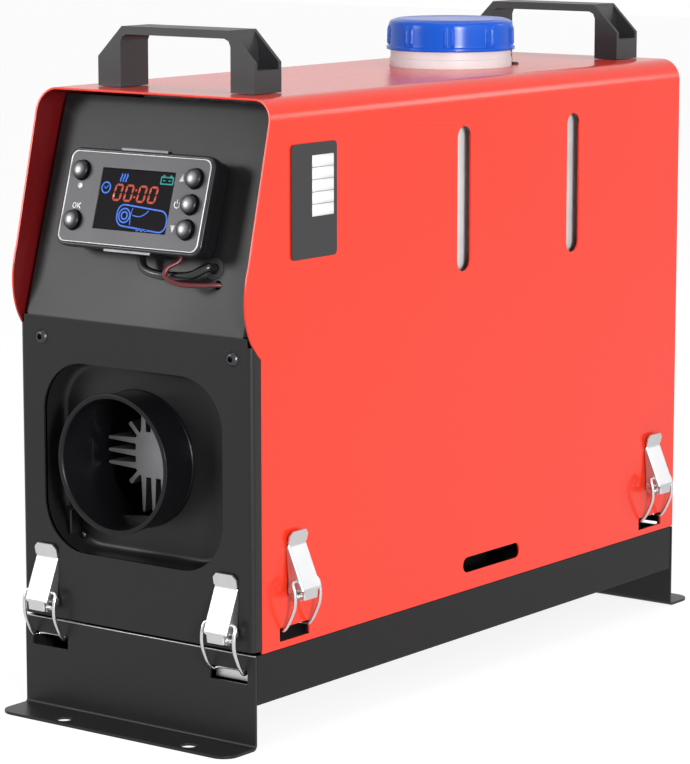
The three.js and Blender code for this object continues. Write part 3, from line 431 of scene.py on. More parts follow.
class Strip:
    """A bent strip seen from its end: straight runs joined by round bends, walked by distance.

    The left side of the walk is the outer side. The normal at a point is the mean of its two runs' normals,
    lengthened so that both sides stay parallel.
    """

    def __init__(self, points, radii, count=9):
        self.line = rounded(points, radii, count)
        run = np.diff(self.line, axis=0)
        length = np.linalg.norm(run, axis=1)
        self.marks = np.concatenate([[0], np.cumsum(length)])
        self.length = self.marks[-1]
        normal = np.column_stack([-run[:, 1], run[:, 0]]) / length[:, None]
        mean = np.concatenate([normal[:1], (normal[1:] + normal[:-1]) / 2, normal[-1:]])
        self.normals = mean / (mean ** 2).sum(axis=1)[:, None]

    def at(self, distance):
        """Point and normal at each distance."""
        return tuple(np.column_stack([np.interp(distance, self.marks, table[:, axis]) for axis in (0, 1)])
                     for table in (self.line, self.normals))


def rulings_along(strip, low, high, first_axis=True):
    """Straight lines across a flat pattern at each mark of a strip."""
    lines = []
    for mark in strip.marks[1:-1]:
        line = np.array([[mark, low], [mark, high]])
        lines.append(line if first_axis else line[:, ::-1])
    return lines


# ---------------------------------------------------------------- shader maths
def maths(operation, reflected=False):
    """Method that joins a value and another value or number in a Math node."""
    def join(value, other):
        first, second = (other, value) if reflected else (value, other)
        return value.nodes.node("ShaderNodeMath", {"operation": operation}, {0: first, 1: second})
    return join


class Value:
    """A shader socket that can be used in sums, products and comparisons."""

    def __init__(self, nodes, socket):
        self.nodes = nodes
        self.socket = socket

    __add__, __radd__ = maths("ADD"), maths("ADD", True)
    __sub__, __rsub__ = maths("SUBTRACT"), maths("SUBTRACT", True)
    __mul__, __rmul__ = maths("MULTIPLY"), maths("MULTIPLY", True)
    __gt__, __lt__ = maths("GREATER_THAN"), maths("LESS_THAN")


class Nodes:
    """A node tree that nodes are added to."""

    def __init__(self, tree):
        self.tree = tree

    def node(self, kind, settings=None, inputs=None, output=0):
        """Any node: its settings first, then the values or links of its sockets."""
        made = self.tree.nodes.new(kind)
        for key, value in (settings or {}).items():
            setattr(made, key, value)
        for socket, value in (inputs or {}).items():
            if isinstance(value, Value):
                self.tree.links.new(value.socket, made.inputs[socket])
            else:
                made.inputs[socket].default_value = value
        return Value(self, made.outputs[output])

    def seen(self):
        """1 for camera, glossy and transmission rays, 0 for the rays that light the object."""
        share = self.node("ShaderNodeLightPath", output="Is Camera Ray")
        for kind in ("Glossy", "Transmission"):
            ray = self.node("ShaderNodeLightPath", output=f"Is {kind} Ray")
            share = self.node("ShaderNodeMath", {"operation": "MAXIMUM"}, {0: share, 1: ray})
        return share


class Finish(Nodes):
    """One material: a Principled shader and the nodes that feed it."""

    def __init__(self, name, **constants):
        self.material = bpy.data.materials.new(name)
        self.material.use_nodes = True
        super().__init__(self.material.node_tree)
        self.shader = self.tree.nodes["Principled BSDF"]
        for socket, value in constants.items():
            self.shader.inputs[socket.replace("_", " ")].default_value = value
        self.place = self.node("ShaderNodeTexCoord", output="Object")

    def noise(self, scale, detail=2.0, stretch=(1, 1, 1)):
        """Smooth noise of a scale in waves per metre, from 0 to 1."""
        place = self.place
        if stretch != (1, 1, 1):
            place = self.node("ShaderNodeMapping", inputs={"Vector": place, "Scale": stretch})
        return self.node("ShaderNodeTexNoise", inputs={"Vector": place, "Scale": scale, "Detail": detail})

    def facing(self, direction):
        """How far the surface faces a direction: the dot product with its normal."""
        normal = self.node("ShaderNodeTexCoord", output="Normal")
        return self.node("ShaderNodeVectorMath", {"operation": "DOT_PRODUCT"}, {0: normal, 1: direction},
                         output="Value")

    def blend(self, share, first, second):
        """Colour between two colours."""
        inputs = {0: share, 6: as_colour(first), 7: as_colour(second)}
        return self.node("ShaderNodeMix", {"data_type": "RGBA"}, inputs, output=2)

    def tone(self, share, base, low, high):
        """A base colour that wanders between two multiples of itself."""
        return self.blend(share, scaled(base, low), scaled(base, high))

    def feed(self, **links):
        """Links values to the shader's sockets, by their names with _ for a space."""
        for socket, value in links.items():
            self.tree.links.new(value.socket, self.shader.inputs[socket.replace("_", " ")])

    def bump(self, height, distance):
        """Relief of a height from 0 to 1, over a distance in metres."""
        self.feed(Normal=self.node("ShaderNodeBump", inputs={"Height": height, "Distance": distance},
                                   output="Normal"))


def as_colour(value):
    """A value or a plain colour, as a colour socket takes it."""
    return value if isinstance(value, Value) else (*value, 1)


def scaled(base, factor):
    """A colour made darker or lighter."""
    return tuple(min(1.0, channel * factor) for channel in base)


def powder_coat(name, base, roughness, peel_depth, shine, drift_size=0.05, inner_shade=None):
    """Baked powder: a faint orange peel of about a millimetre, and roughness that wanders a little.

    The inner shade is painted shade: a darker colour on inner faces, which look back at the line along the
    heater's middle.
    """
    finish = Finish(name, Specular_IOR_Level=shine)
    drift = finish.noise(16, 2)
    peel = finish.noise(850, 2)
    fine = finish.noise(3400, 1)
    coat = finish.tone(fine * 0.7 + drift * 0.3, base, 1 - drift_size, 1 + drift_size)
    # Painted shade: faces that look back at the heater's middle line blend towards the darker inner shade
    # colour.
    if inner_shade:
        outward = finish.node("ShaderNodeVectorMath", {"operation": "MULTIPLY_ADD"},
                              {0: finish.place, 1: (1, 0, 1), 2: (0, 0, -MIDDLE_LEVEL)})
        coat = finish.blend(finish.facing(outward) * -25, coat, inner_shade)
    finish.feed(Base_Color=coat, Roughness=drift * drift_size + fine * 0.05 + (roughness - 0.05))
    finish.bump(peel * 0.75 + fine * 0.25, peel_depth)
    return finish.material


def moulded_plastic(name, base, roughness, grain=2600, depth=0.02 * MM, shine=0.35):
    """Moulded plastic with a fine spark-eroded grain and slightly polished patches."""
    finish = Finish(name, Specular_IOR_Level=shine)
    cells = finish.node("ShaderNodeTexVoronoi", inputs={"Vector": finish.place, "Scale": grain})
    patches = finish.noise(60, 3)
    finish.feed(Base_Color=finish.tone(patches, base, 0.88, 1.14),
                Roughness=patches * 0.16 + cells * 0.06 + (roughness - 0.1))
    finish.bump(cells * 0.7 + finish.noise(900, 2) * 0.3, depth)
    return finish.material


def pressed_steel(name, base, roughness, along=(1, 1, 0.03)):
    """Nickel-plated sheet: bright, with a faint rolling grain and soft smears."""
    finish = Finish(name, Metallic=1.0)
    grain = finish.noise(5200, 2, stretch=along)
    smear = finish.noise(140, 3)
    finish.feed(Base_Color=finish.tone(smear, base, 0.92, 1.06),
                Roughness=smear * 0.14 + grain * 0.08 + (roughness - 0.1))
    finish.bump(grain, 0.004 * MM)
    return finish.material


def cast_metal(name, base, roughness):
    """Die-cast aluminium: fine pits, a sandy bump and a cloudy tone."""
    finish = Finish(name, Metallic=0.85)
    cloud = finish.noise(70, 4)
    sand = finish.noise(1500, 3)
    pits = finish.node("ShaderNodeTexVoronoi", inputs={"Vector": finish.place, "Scale": 700.0})
    finish.feed(Base_Color=finish.tone(cloud * 0.7 + sand * 0.3, base, 0.72, 1.15),
                Roughness=sand * 0.2 + (roughness - 0.1))
    finish.bump(sand * 0.7 + (pits < 0.12) * -0.3, 0.05 * MM)
    return finish.material


def soft_rubber(name, base, roughness):
    """Rubber or cable jacket: matt, with a slight waviness."""
    finish = Finish(name)
    waves = finish.noise(420, 2)
    finish.feed(Base_Color=finish.tone(waves, base, 0.8, 1.3),
                Roughness=waves * 0.12 + (roughness - 0.06))
    finish.bump(finish.noise(1800, 2), 0.02 * MM)
    return finish.material


def clear_gloss(name, base, roughness, drift_size=0.08, shine=0.5):
    """Glossy moulding: nearly even colour under a slightly wavy skin."""
    finish = Finish(name, Specular_IOR_Level=shine)
    drift = finish.noise(45, 2)
    finish.feed(Base_Color=finish.tone(drift, base, 1 - drift_size, 1 + drift_size),
                Roughness=drift * 0.08 + (roughness - 0.04))
    finish.bump(finish.noise(160, 1), 0.03 * MM)
    return finish.material


def lit(name, base, strength):
    """Lit sign of the display: its colour glows unevenly, as behind a diffuser."""
    finish = Finish(name, Base_Color=(*scaled(base, 0.3), 1), Roughness=0.3, Emission_Strength=strength)
    glow = finish.noise(900, 1)
    finish.feed(Emission_Color=finish.tone(glow, base, 0.75, 1.2))
    return finish.material


def film(name, base):
    """Grey metallic film of the controller, with a fine sparkle."""
    finish = Finish(name, Metallic=0.15, Specular_IOR_Level=0.3)
    sparkle = finish.noise(6500, 1)
    drift = finish.noise(30, 2)
    finish.feed(Base_Color=finish.tone(sparkle * 0.6 + drift * 0.4, base, 0.8, 1.35),
                Roughness=drift * 0.1 + 0.36)
    finish.bump(sparkle, 0.003 * MM)
    return finish.material


def domed_metal(name, skirt, crown):
    """Button metal: a dark skirt that clears to a bright crown where the surface faces out of the slope: a
    painted highlight.
    """
    finish = Finish(name, Metallic=0.6)
    out_of_slope = finish.facing(SLOPE.axes[2])
    # Painted highlight: the colour clears from the dark skirt to the bright crown where the dome faces out of
    # the slope.
    painted_highlight_share = finish.node("ShaderNodeMath", {"operation": "POWER"}, {0: out_of_slope, 1: 20.0})
    smear = finish.noise(700, 2)
    finish.feed(Base_Color=finish.blend(painted_highlight_share, skirt, crown), Roughness=smear * 0.1 + 0.26)
    return finish.material


def printed(name, base):
    """Printed area: an even ink with a slight grain."""
    finish = Finish(name)
    grain = finish.noise(2500, 1)
    finish.feed(Base_Color=finish.tone(grain, base, 0.95, 1.03),
                Roughness=grain * 0.1 + 0.35)
    return finish.material


def make_finishes(colours):
    """All materials of the heater, by name."""
    paints = {key: tuple(getattr(colours, key)) for key in HeaterColours.__annotations__}
    return {
        # Painted shade: the red coat turns dark red on the housing's inner faces, where they lie in shade.
        "red": powder_coat("red powder coat", paints["red"], 0.24, 0.014 * MM, 0.4, 0.02,
                           inner_shade=(0.13, 0.006, 0.007)),
        "black": powder_coat("black powder coat", paints["black"], 0.32, 0.03 * MM, 0.24, 0.12),
        "tray": powder_coat("black tray coat", paints["black"], 0.36, 0.03 * MM, 0.12, 0.12),
        "plastic": moulded_plastic("black plastic", paints["plastic"], 0.42),
        "casing": moulded_plastic("casing plastic", (0.035, 0.035, 0.038), 0.5, grain=1200),
        "gloss": clear_gloss("glossy black plastic", (0.008, 0.008, 0.009), 0.22, shine=0.3),
        "steel": pressed_steel("bright steel", paints["steel"], 0.38),
        "wire": pressed_steel("steel wire", paints["steel"], 0.22, along=(1, 1, 1)),
        "dark steel": pressed_steel("blackened steel", (0.06, 0.06, 0.065), 0.3, along=(1, 1, 1)),
        "cast": cast_metal("cast aluminium", (0.30, 0.30, 0.31), 0.5),
        "brushed": pressed_steel("brushed metal", (0.5, 0.51, 0.52), 0.35),
        # Painted light: the tank wall is the neck's white plastic made lighter, so that it shows bright
        # through the vents.
        "tank": moulded_plastic("tank wall", (0.88, 0.88, 0.87), 0.42, grain=500, depth=0.03 * MM),
        "white": moulded_plastic("tank plastic", paints["white"], 0.42, grain=500, depth=0.03 * MM),
        "blue": clear_gloss("blue plastic", paints["blue"], 0.24, 0.06, shine=0.25),
        "rubber": soft_rubber("rubber", (0.015, 0.015, 0.015), 0.6),
        "lead": soft_rubber("lead jacket", (0.008, 0.008, 0.009), 0.22),
        "red wire": soft_rubber("red wire", (0.085, 0.007, 0.011), 0.35),
        "film": film("controller film", paints["film"]),
        "collar": clear_gloss("collar plastic", (0.005, 0.005, 0.006), 0.3, shine=0.2),
        "screen": clear_gloss("display window", (0.003, 0.002, 0.004), 0.4, shine=0.04),
        # Button colours: the dark skirt, then the bright colour of the painted highlight.
        "button": domed_metal("button metal", (0.012, 0.012, 0.013), (0.34, 0.34, 0.35)),
        "silver": pressed_steel("silver rim", (0.42, 0.42, 0.43), 0.3, along=(1, 1, 1)),
        "clip": pressed_steel("clip metal", (0.10, 0.10, 0.105), 0.35, along=(1, 1, 1)),
        "label": printed("label film", (0.012, 0.012, 0.014)),
        "cells": printed("label cells", (0.82, 0.82, 0.84)),
        "ink": printed("white ink", (0.85, 0.85, 0.85)),
        "digits": lit("lit digits", paints["digits"], 1.0),
        "signs": lit("lit blue signs", paints["signs"], 1.0),
        "teal": lit("lit teal sign", (0.0, 0.24, 0.21), 0.9),
    }


# ---------------------------------------------------------------- red housing
NOSE_TOP = 246 * MM
NOSE_REACH = 13.6 * MM
KNEE = 198.7 * MM
SHELL_FRONT = -193.9 * MM
ROOF_FRONT = -183.3 * MM
VENTS = {"places": (-19.3 * MM, 86.8 * MM), "width": 12.2 * MM, "low": 224.7 * MM, "high": 302.6 * MM}
LOW_SLOT = {"place": 9 * MM, "level": 63 * MM, "length": 54.5 * MM, "height": 8.4 * MM}
SLOT_FLAT = 0.01 * MM
NECK_PLACE = 77.5 * MM
NECK_HOLE = 34.8 * MM
NECK = TOP.moved(0, NECK_PLACE, SHELL_HIGH[2])


def nose_curve(count=16):
    """Front edge of a side wall from the knee up to the nose: a cubic Bezier curve of (y, z)."""
    top_y = SHELL_FRONT - 0.66 * NOSE_REACH
    controls = np.array([
        [top_y, NOSE_TOP], [SHELL_FRONT - 1.13 * NOSE_REACH, NOSE_TOP - 18 * MM],
        [SHELL_FRONT - 0.96 * NOSE_REACH, KNEE + 11 * MM], [SHELL_FRONT, KNEE],
    ])
    t = np.linspace(1, 0, count)
    shares = [(1 - t) ** 3, 3 * (1 - t) ** 2 * t, 3 * (1 - t) * t ** 2, t ** 3]
    return np.column_stack(shares) @ controls


def red_housing(sizes):
    """Side walls and roof: a flat pattern of (distance over the arch, y), folded over the two roof bends."""
    half, top, low, rear = SHELL_HIGH[0], SHELL_HIGH[2], SHELL_LOW[2], SHELL_HIGH[1]
    arch = Strip([(-half, low), (-half, top), (half, top), (half, low)], sizes.roof_bend, 13)
    nose = nose_curve()
    wall = np.concatenate([[[0, SHELL_FRONT]], np.column_stack([nose[:, 1] - low, nose[:, 0]])])
    bend = arch.line[:, 1] > NOSE_TOP
    slant = (arch.line[bend, 1] - NOSE_TOP) / (top - NOSE_TOP)
    roof = np.column_stack([arch.marks[bend], nose[-1, 0] + slant * (ROOF_FRONT - nose[-1, 0])])
    mirrored = np.column_stack([arch.length - wall[::-1, 0], wall[::-1, 1]])
    outline = np.concatenate([wall, roof, mirrored, [[arch.length, rear], [0, rear]]])
    tall, width, height = VENTS["high"] - VENTS["low"], *LATCH_WINDOW
    cuts = [((VENTS["low"] + VENTS["high"]) / 2, place, tall, VENTS["width"], VENTS["width"] / 2 - SLOT_FLAT)
            for place in VENTS["places"]]
    cuts.append((LOW_SLOT["level"], LOW_SLOT["place"], LOW_SLOT["height"], LOW_SLOT["length"],
                 LOW_SLOT["height"] / 2 - SLOT_FLAT))
    cuts += [(SIDE_LATCH_LEVEL - height / 2, place, height, width, 0.5 * MM, 3)
             for place in SIDE_LATCHES.values()]
    holes = [rounded_box((start + way * (level - low), place), *sides)
             for start, way in ((0, 1), (arch.length, -1)) for level, place, *sides in cuts]
    holes.append(ring((arch.length / 2, NECK_PLACE), NECK_HOLE, 72))

    def fold(flat):
        point, normal = arch.at(flat[:, 0])
        inner = point - normal * sizes.shell_sheet
        return (np.column_stack([point[:, 0], flat[:, 1], point[:, 1]]),
                np.column_stack([inner[:, 0], flat[:, 1], inner[:, 1]]))

    skin = sheet("red_housing", [outline, *holes], fold, rulings_along(arch, -0.3, 0.3))
    settle(soften(skin, sizes.sheet_edge), "red", "red_coat", "outer_shell")


# ---------------------------------------------------------------- black panels and base
DISH = {"centre": (-1.6 * MM, 137 * MM), "width": 119.3 * MM, "height": 99.8 * MM, "corner": 27 * MM,
        "depth": 12.5 * MM}
PANEL_SCREWS = [(-62.1 * MM, 198.7 * MM), (64.8 * MM, 198.7 * MM)]
REAR_SCREWS = {"lower": 96 * MM, "upper": 294 * MM}
REAR_SCREW_SPREAD = 68 * MM
LEAD_HOLES = [(46.5 * MM, 33 * MM, 3.4 * MM), (52 * MM, 25 * MM, 2.3 * MM)]
PANEL_SHEET = 1.2 * MM
PANEL_FLANGE = 12 * MM
SLOPE_WIDTH = 146.4 * MM


def face_panel(sizes):
    """Front panel: a pattern of (across, up) folded back along both sides and leaned back above the fold."""
    half = PANEL_HIGH[0]
    low = PANEL_LOW[2]
    across = Strip([(half, -PANEL_FLANGE), (half, 0), (-half, 0), (-half, -PANEL_FLANGE)], 1.8 * MM, 5)
    top = (math.sin(LEAN) * -SLOPE_LENGTH, FOLD + math.cos(LEAN) * SLOPE_LENGTH)
    upright = Strip([(0, low), (0, FOLD), top], 3 * MM, 6)
    flange = across.marks[across.line[:, 1] > -1e-9][0]
    notch = [FOLD - low - 4.4 * MM, FOLD - low + 0.6 * MM]
    width, height = across.length, upright.length
    outline = np.array([
        (0, 0), (width, 0), (width, notch[0]), (width - flange, notch[0]), (width - flange, notch[1]),
        (width, notch[1]), (width, height), (0, height),
        (0, notch[1]), (flange, notch[1]), (flange, notch[0]), (0, notch[0]),
    ])
    middle = width / 2
    holes = [rounded_box((middle - DISH["centre"][0], DISH["centre"][1] - low), DISH["width"], DISH["height"],
                         DISH["corner"], 18)]
    holes += [ring((middle - x, z - low), 2.4 * MM, 20) for x, z in PANEL_SCREWS]
    holes += [ring((middle - x, height - SLOPE_LENGTH + up), radius, 24) for x, up, radius in LEAD_HOLES]
    lines = rulings_along(across, -0.01, height + 0.01) + rulings_along(upright, -0.01, width + 0.01, False)

    def fold(flat):
        section, section_normal = across.at(flat[:, 0])
        point, normal = upright.at(flat[:, 1])
        narrower = np.where(flat[:, 1] > FOLD - low, SLOPE_WIDTH / 2 / half, 1.0)
        sides = []
        for depth in (0.0, PANEL_SHEET):
            spot = section - section_normal * depth
            x = spot[:, 0] * narrower
            out = point[:, 0] - normal[:, 0] * spot[:, 1]
            up = point[:, 1] - normal[:, 1] * spot[:, 1]
            sides.append(np.column_stack([x, FACE - out, up]))
        return sides

    panel = sheet("face_panel", [outline, *holes], fold, lines)
    settle(soften(panel, sizes.sheet_edge), "black", "black_coat", "front_panel")


def recess_pan():
    """Pressed pan behind the outlet: a rounded rectangle that turns into its floor and closes on the pipe.

    Rows follow a section (inset, depth). The floor's rows blend from the rectangle to a circle at the duct.
    """
    wall, floor, hole, thick = 0.4 * MM, DISH["depth"], 36.4 * MM, 1.2 * MM

    def row(inset, depth, blend=0):
        loop = rounded_box(DISH["centre"], DISH["width"] - 2 * inset, DISH["height"] - 2 * inset,
                           DISH["corner"] - inset, 20)
        spoke = loop - DUCT
        circle = DUCT + hole * spoke / np.linalg.norm(spoke, axis=1)[:, None]
        return raised(loop * (1 - blend) + circle * blend, -depth)

    section = rounded([(wall - 0.6 * MM, 0), (wall, floor), (12 * MM, floor)], 4 * MM, 9)
    front, back = ([row(inset - extra, depth + extra) for inset, depth in section[:-1]]
                   + [row(section[-2, 0], floor + extra, share) for share in np.linspace(0.25, 1, 4)]
                   for extra in (0, thick))
    rows = front + back[::-1]
    place = FRONT.moved(out=-FACE - PANEL_SHEET - 0.2 * MM)
    pan = put_mesh("recess_pan", place(np.concatenate(rows)),
                   [grid_faces(len(rows), len(rows[0]), round_rows=True)])
    settle(hard_edges(pan), "black", "black_coat", "recess_dish")


def recess_tab():
    """Small bent tab with its screw, low in the left corner of the recess."""
    floor = FRONT.moved(out=-FACE - DISH["depth"])
    place = floor.moved(-52.5 * MM, 101 * MM)
    bent = Strip([(-5 * MM, 0), (4.4 * MM, 0), (4.4 * MM, 8 * MM)], 1.2 * MM, 5)
    outline = np.array([(0, -6), (bent.length / MM, -6), (bent.length / MM, 6.5), (0, 6.5)]) * MM

    def fold(flat):
        point, normal = bent.at(flat[:, 0])
        return [place(np.column_stack([spot[:, 0], flat[:, 1], spot[:, 1]]))
                for spot in (point + normal * 1.2 * MM, point)]

    tab = sheet("recess_tab", [outline], fold, rulings_along(bent, -0.01, 0.01))
    settle(soften(tab, 0.3 * MM), "black", "black_coat")
    screw = socket_screw("recess_screw", floor.moved(-47 * MM, 93.5 * MM), 4.6 * MM)
    settle(screw, "dark steel", "bright_steel")


def back_panel(sizes):
    """Rear panel: an arch with nine air slots and four screw holes."""
    low, high = corners("rear_panel")
    holes = []
    for row in range(-4, 5):
        drop = row * 9 * MM
        length = 2 * math.sqrt((44 * MM) ** 2 - drop ** 2)
        holes.append(rounded_box((-DUCT[0], DUCT[1] + drop), length, 5 * MM, 2.4 * MM, 6))
    holes += [ring((side * REAR_SCREW_SPREAD, level), 2.4 * MM, 20)
              for side in (-1, 1) for level in REAR_SCREWS.values()]
    outline = arched(high[0], low[2], high[2], sizes.roof_bend - 1.3 * MM)
    panel = plate("back_panel", [outline, *holes], REAR, high[1] - PANEL_SHEET, high[1])
    settle(soften(panel, sizes.sheet_edge), "black", "black_coat", "rear_panel")


def folded_foot(name, node, place, sizes, windows):
    """Foot: an upright plate and a flange with round corners, folded from one pattern of (across, down)."""
    low, high = corners(node)
    back = -FACE - sizes.foot_sheet
    bent = Strip([(back, high[2]), (back, 0), (max(-low[1], high[1]), 0)], 3 * MM, 9)
    end = bent.length
    across = -1 if place is REAR else 1
    holes = [ring((across * x, end - 7.4 * MM), 4.2 * MM, 28) for x in (-37.3 * MM, 46.7 * MM)]
    width, height = LATCH_WINDOW
    holes += [rounded_box((side * FRONT_LATCH[0], high[2] - FRONT_LATCH[1] + height / 2), width, height,
                          0.5 * MM, 3) for side in windows]

    def fold(flat):
        point, normal = bent.at(flat[:, 1])
        return [place(np.column_stack([flat[:, 0], spot[:, 1], spot[:, 0]]))
                for spot in (point + normal * sizes.foot_sheet, point)]

    outline = arched(high[0], 0, end, 9 * MM)
    foot = sheet(name, [outline, *holes], fold, rulings_along(bent, -0.1, 0.1, False))
    settle(soften(foot, sizes.sheet_edge * 2), "black", "black_coat", node)


def foot_edge(sizes):
    """Bright steel strip along the top of the front foot: a painted highlight of the foot's top edge."""
    high = corners("front_foot")[1]
    edge = rounded_box((0, high[2] + 0.25 * MM), 2 * high[0] - 1 * MM, 0.5 * MM, 0.1 * MM, 3)
    # Painted highlight: a thin bright strip where the foot's top edge catches the light.
    strip = plate("foot_edge", [edge], FRONT, -FACE - sizes.foot_sheet, -FACE - 0.1 * MM)
    settle(strip, "steel", "bright_steel")


# ---------------------------------------------------------------- outlet
def duct_collar():
    """Round collar for the duct hose: a turned ring with a beaded lip and a shoulder near its root."""
    low, high = corners("outlet_collar")
    lip, root = -low[1], -high[1]
    outer, inner = 35.75 * MM, 33.75 * MM
    profile = rounded_loop([
        (inner, root), (outer, root), (outer, lip - 24 * MM), (outer + 0.35 * MM, lip - 23.6 * MM),
        (outer + 0.35 * MM, lip - 21.6 * MM), (outer, lip - 21.2 * MM), (outer, lip - 2.6 * MM),
        (outer + 0.8 * MM, lip - 1.9 * MM), (outer + 0.8 * MM, lip), (inner + 0.5 * MM, lip),
        (inner, lip - 0.8 * MM),
    ], np.array([0.1, 0.2, 0.15, 0.15, 0.15, 0.15, 0.3, 0.3, 0.5, 0.2, 0.1]) * MM, 4)
    collar = lathe("duct_collar", profile, FRONT.moved(*DUCT), 128)
    settle(hard_edges(collar, 50), "collar", "black_plastic", "outlet_collar")


def fin_outline():
    """Section of the exchanger: three tapered fins with round tips each way and a short one between them."""
    core, reach, root, tip = 12 * MM, 30.6 * MM, 1.7 * MM, 0.85 * MM
    side = []
    for shift in (-6.6 * MM, 0, 6.6 * MM):
        side += [[(core, shift - root)], arc((reach - tip, shift), tip, -math.pi / 2, math.pi / 2, 7),
                 [(core, shift + root)]]
    side = np.concatenate(side)
    diagonal, bulb = math.sqrt(0.5), 1.5 * MM
    stub = np.concatenate([[(14.4 * MM, -1.2 * MM)], arc((21.2 * MM, 0), bulb, -2.2, 2.2, 9),
                           [(14.4 * MM, 1.2 * MM)]])
    stub = stub @ np.array([[diagonal, diagonal], [-diagonal, diagonal]])
    quarter = np.concatenate([side, stub])
    turns = [np.array([[c, s], [-s, c]]) for c, s in ((1, 0), (0, 1), (-1, 0), (0, -1))]
    return np.concatenate([quarter @ turn for turn in turns])


def finned_core():
    """Finned exchanger, seen through the collar."""
    low, high = corners("heat_exchanger")
    core = plate("finned_core", [fin_outline()], FRONT.moved(*DUCT), -high[1], -low[1])
    settle(soften(core, 0.45 * MM), "cast", "cast_aluminium", "heat_exchanger")


# ---------------------------------------------------------------- fuel cap and neck
def screw_cap(sizes):
    """Fuel cap: a turned shell whose outer wall swells into pairs of upright grip ribs.

    A rib is a raised cosine of the angle from its middle line, faded out above and below by height.
    """
    low, high = corners("fuel_cap")
    base, top = low[2] - SHELL_HIGH[2], high[2] - SHELL_HIGH[2]
    radius, bore = 36.4 * MM, 34.3 * MM
    wall = radius - 1.2 * MM
    line = rounded([
        (0, top - 0.7 * MM), (27 * MM, top - 0.5 * MM), (30.5 * MM, top), (wall - 0.2 * MM, top - 1.6 * MM),
        (wall, top - 5 * MM), (wall + 0.2 * MM, base + 2.4 * MM), (radius, base + 1.8 * MM), (radius, base),
        (bore, base), (bore, top - 2 * MM), (0, top - 2 * MM),
    ], np.array([6, 3, 2.4, 4, 0.4, 0.3, 0.4, 0.2, 0.3]) * MM, 6)
    profile = spaced(line, 1.15 * MM)
    first = math.radians(23.6)
    spread, width = math.radians(3.3), math.radians(1.5)

    def swell(profile, angle):
        step = 2 * math.pi / sizes.rib_pairs
        off = (angle - first + step / 2) % step - step / 2
        bars = sum(np.clip(np.cos(np.clip((off - side * spread) / width, -1, 1) * math.pi / 2) * 1.6, 0, 1)
                   for side in (-1, 1))
        rise = np.clip((profile[:, 1] - base - 2.6 * MM) / (0.8 * MM), 0, 1)
        fall = np.clip((top - 3.4 * MM - profile[:, 1]) / (2.2 * MM), 0, 1)
        outside = (profile[:, 0] > bore + 0.3 * MM) & (profile[:, 1] > base + 2.4 * MM)
        return (rise * fall * outside)[:, None] * bars * sizes.rib_height

    cap = lathe("screw_cap", profile, NECK, 720, swell)
    settle(hard_edges(cap, 60), "blue", "blue_plastic", "fuel_cap", body="cap")


def filler_neck():
    """White neck of the tank: a sleeve with a wider foot, close round the solid neck."""
    foot, wall, bore = 34.6, 34.12, 33.92
    profile = rounded_loop([(bore, -1), (foot, -1), (foot, 4.6), (wall, 5.1), (wall, 22), (bore, 22)],
                           [0.05, 0.05, 0.4, 0.3, 0.08, 0.05], 4)
    neck = lathe("filler_neck", profile * MM, NECK, 128)
    settle(hard_edges(neck), "white", "white_plastic")
    profile = rounded([(0, 1.3), (1.9, 1.3), (2.3, 0), (0, 0)], [0.5, 0.1], 5)
    plug = lathe("vent_plug", profile * MM, TOP.moved(24 * MM, 107 * MM, SHELL_HIGH[2] - 0.05 * MM), 32)
    settle(hard_edges(plug, 50), "rubber", "dark_rubber")


# ---------------------------------------------------------------- screws and handles
SOCKET_ROWS = 4


def socket_screw(name, place, diameter):
    """Button head with a hexagon socket.

    The socket's rows follow a hexagon: radius r becomes r cos 30 / cos(angle from the nearest flat's middle).
    """
    head, socket, height = diameter / 2, diameter * 0.27, diameter * 0.36
    crown = rounded([(socket, height), (head * 0.62, height), (head * 0.96, height * 0.5), (head, 0)],
                    [head * 0.5, head * 0.4], 6)
    profile = np.concatenate([[(0, height * 0.3), (socket, height * 0.3)], crown, [(0, 0)]])

    def swell(profile, angle):
        sector = math.pi / 3
        flat = (angle + sector / 2) % sector - sector / 2
        hexagon = math.cos(sector / 2) / np.cos(flat) - 1
        return profile[:, :1] * hexagon * (np.arange(len(profile)) < SOCKET_ROWS)[:, None]

    return hard_edges(lathe(name, profile, place, 60, swell), 35)


def panel_screws():
    """Two screws in the front panel and four in the rear one."""
    for (x, z), side in zip(PANEL_SCREWS, ("left", "right")):
        screw = socket_screw(f"front_screw_{side}", FRONT.moved(x, z, -FACE), 8 * MM)
        settle(screw, "dark steel", "bright_steel", f"panel_screw_{side}")
    rear = corners("rear_panel")[1][1]
    for level, z in REAR_SCREWS.items():
        for side, x in (("left", -REAR_SCREW_SPREAD), ("right", REAR_SCREW_SPREAD)):
            screw = socket_screw(f"back_screw_{level}_{side}", REAR.moved(-x, z, rear), 8 * MM)
            settle(screw, "dark steel", "bright_steel", f"rear_screw_{level}_{side}")


def carry_handles():
    """Both handles, with rounded edges."""
    for end in ("front", "rear"):
        grip = merged_copy(f"{end}_handle", f"{end}_grip", 0.7 * MM, 3)
        settle(grip, "plastic", "black_plastic", f"{end}_handle")


# ---------------------------------------------------------------- controller
CONTROLLER = 61.3 * MM
FACE_OUT = 17.6 * MM
FACE_SIZE = (91.5 * MM, 46.7 * MM)
SCREEN_SIZE = (48 * MM, 31.3 * MM)
BUTTONS = {
    "menu": (-37.35 * MM, 13.5 * MM), "ok": (-37.35 * MM, -12.5 * MM), "up": (37.35 * MM, 13.5 * MM),
    "power": (37.35 * MM, 0.3 * MM), "down": (37.35 * MM, -12.5 * MM),
}
BUTTON_RADIUS = 4.9 * MM
BUTTON_GAP = 1.1 * MM


def stroke(points, width, closed=False):
    """Outline of a line of even width: the line moved half the width to each side of its heading."""
    points = np.array(points, float)
    if closed:
        heading = np.roll(points, -1, axis=0) - np.roll(points, 1, axis=0)
    else:
        heading = np.gradient(points, axis=0)
    heading /= np.linalg.norm(heading, axis=1)[:, None]
    side = np.column_stack([-heading[:, 1], heading[:, 0]]) * width / 2
    if closed:
        return [points + side, points - side]
    return [np.concatenate([points + side, (points - side)[::-1]])]


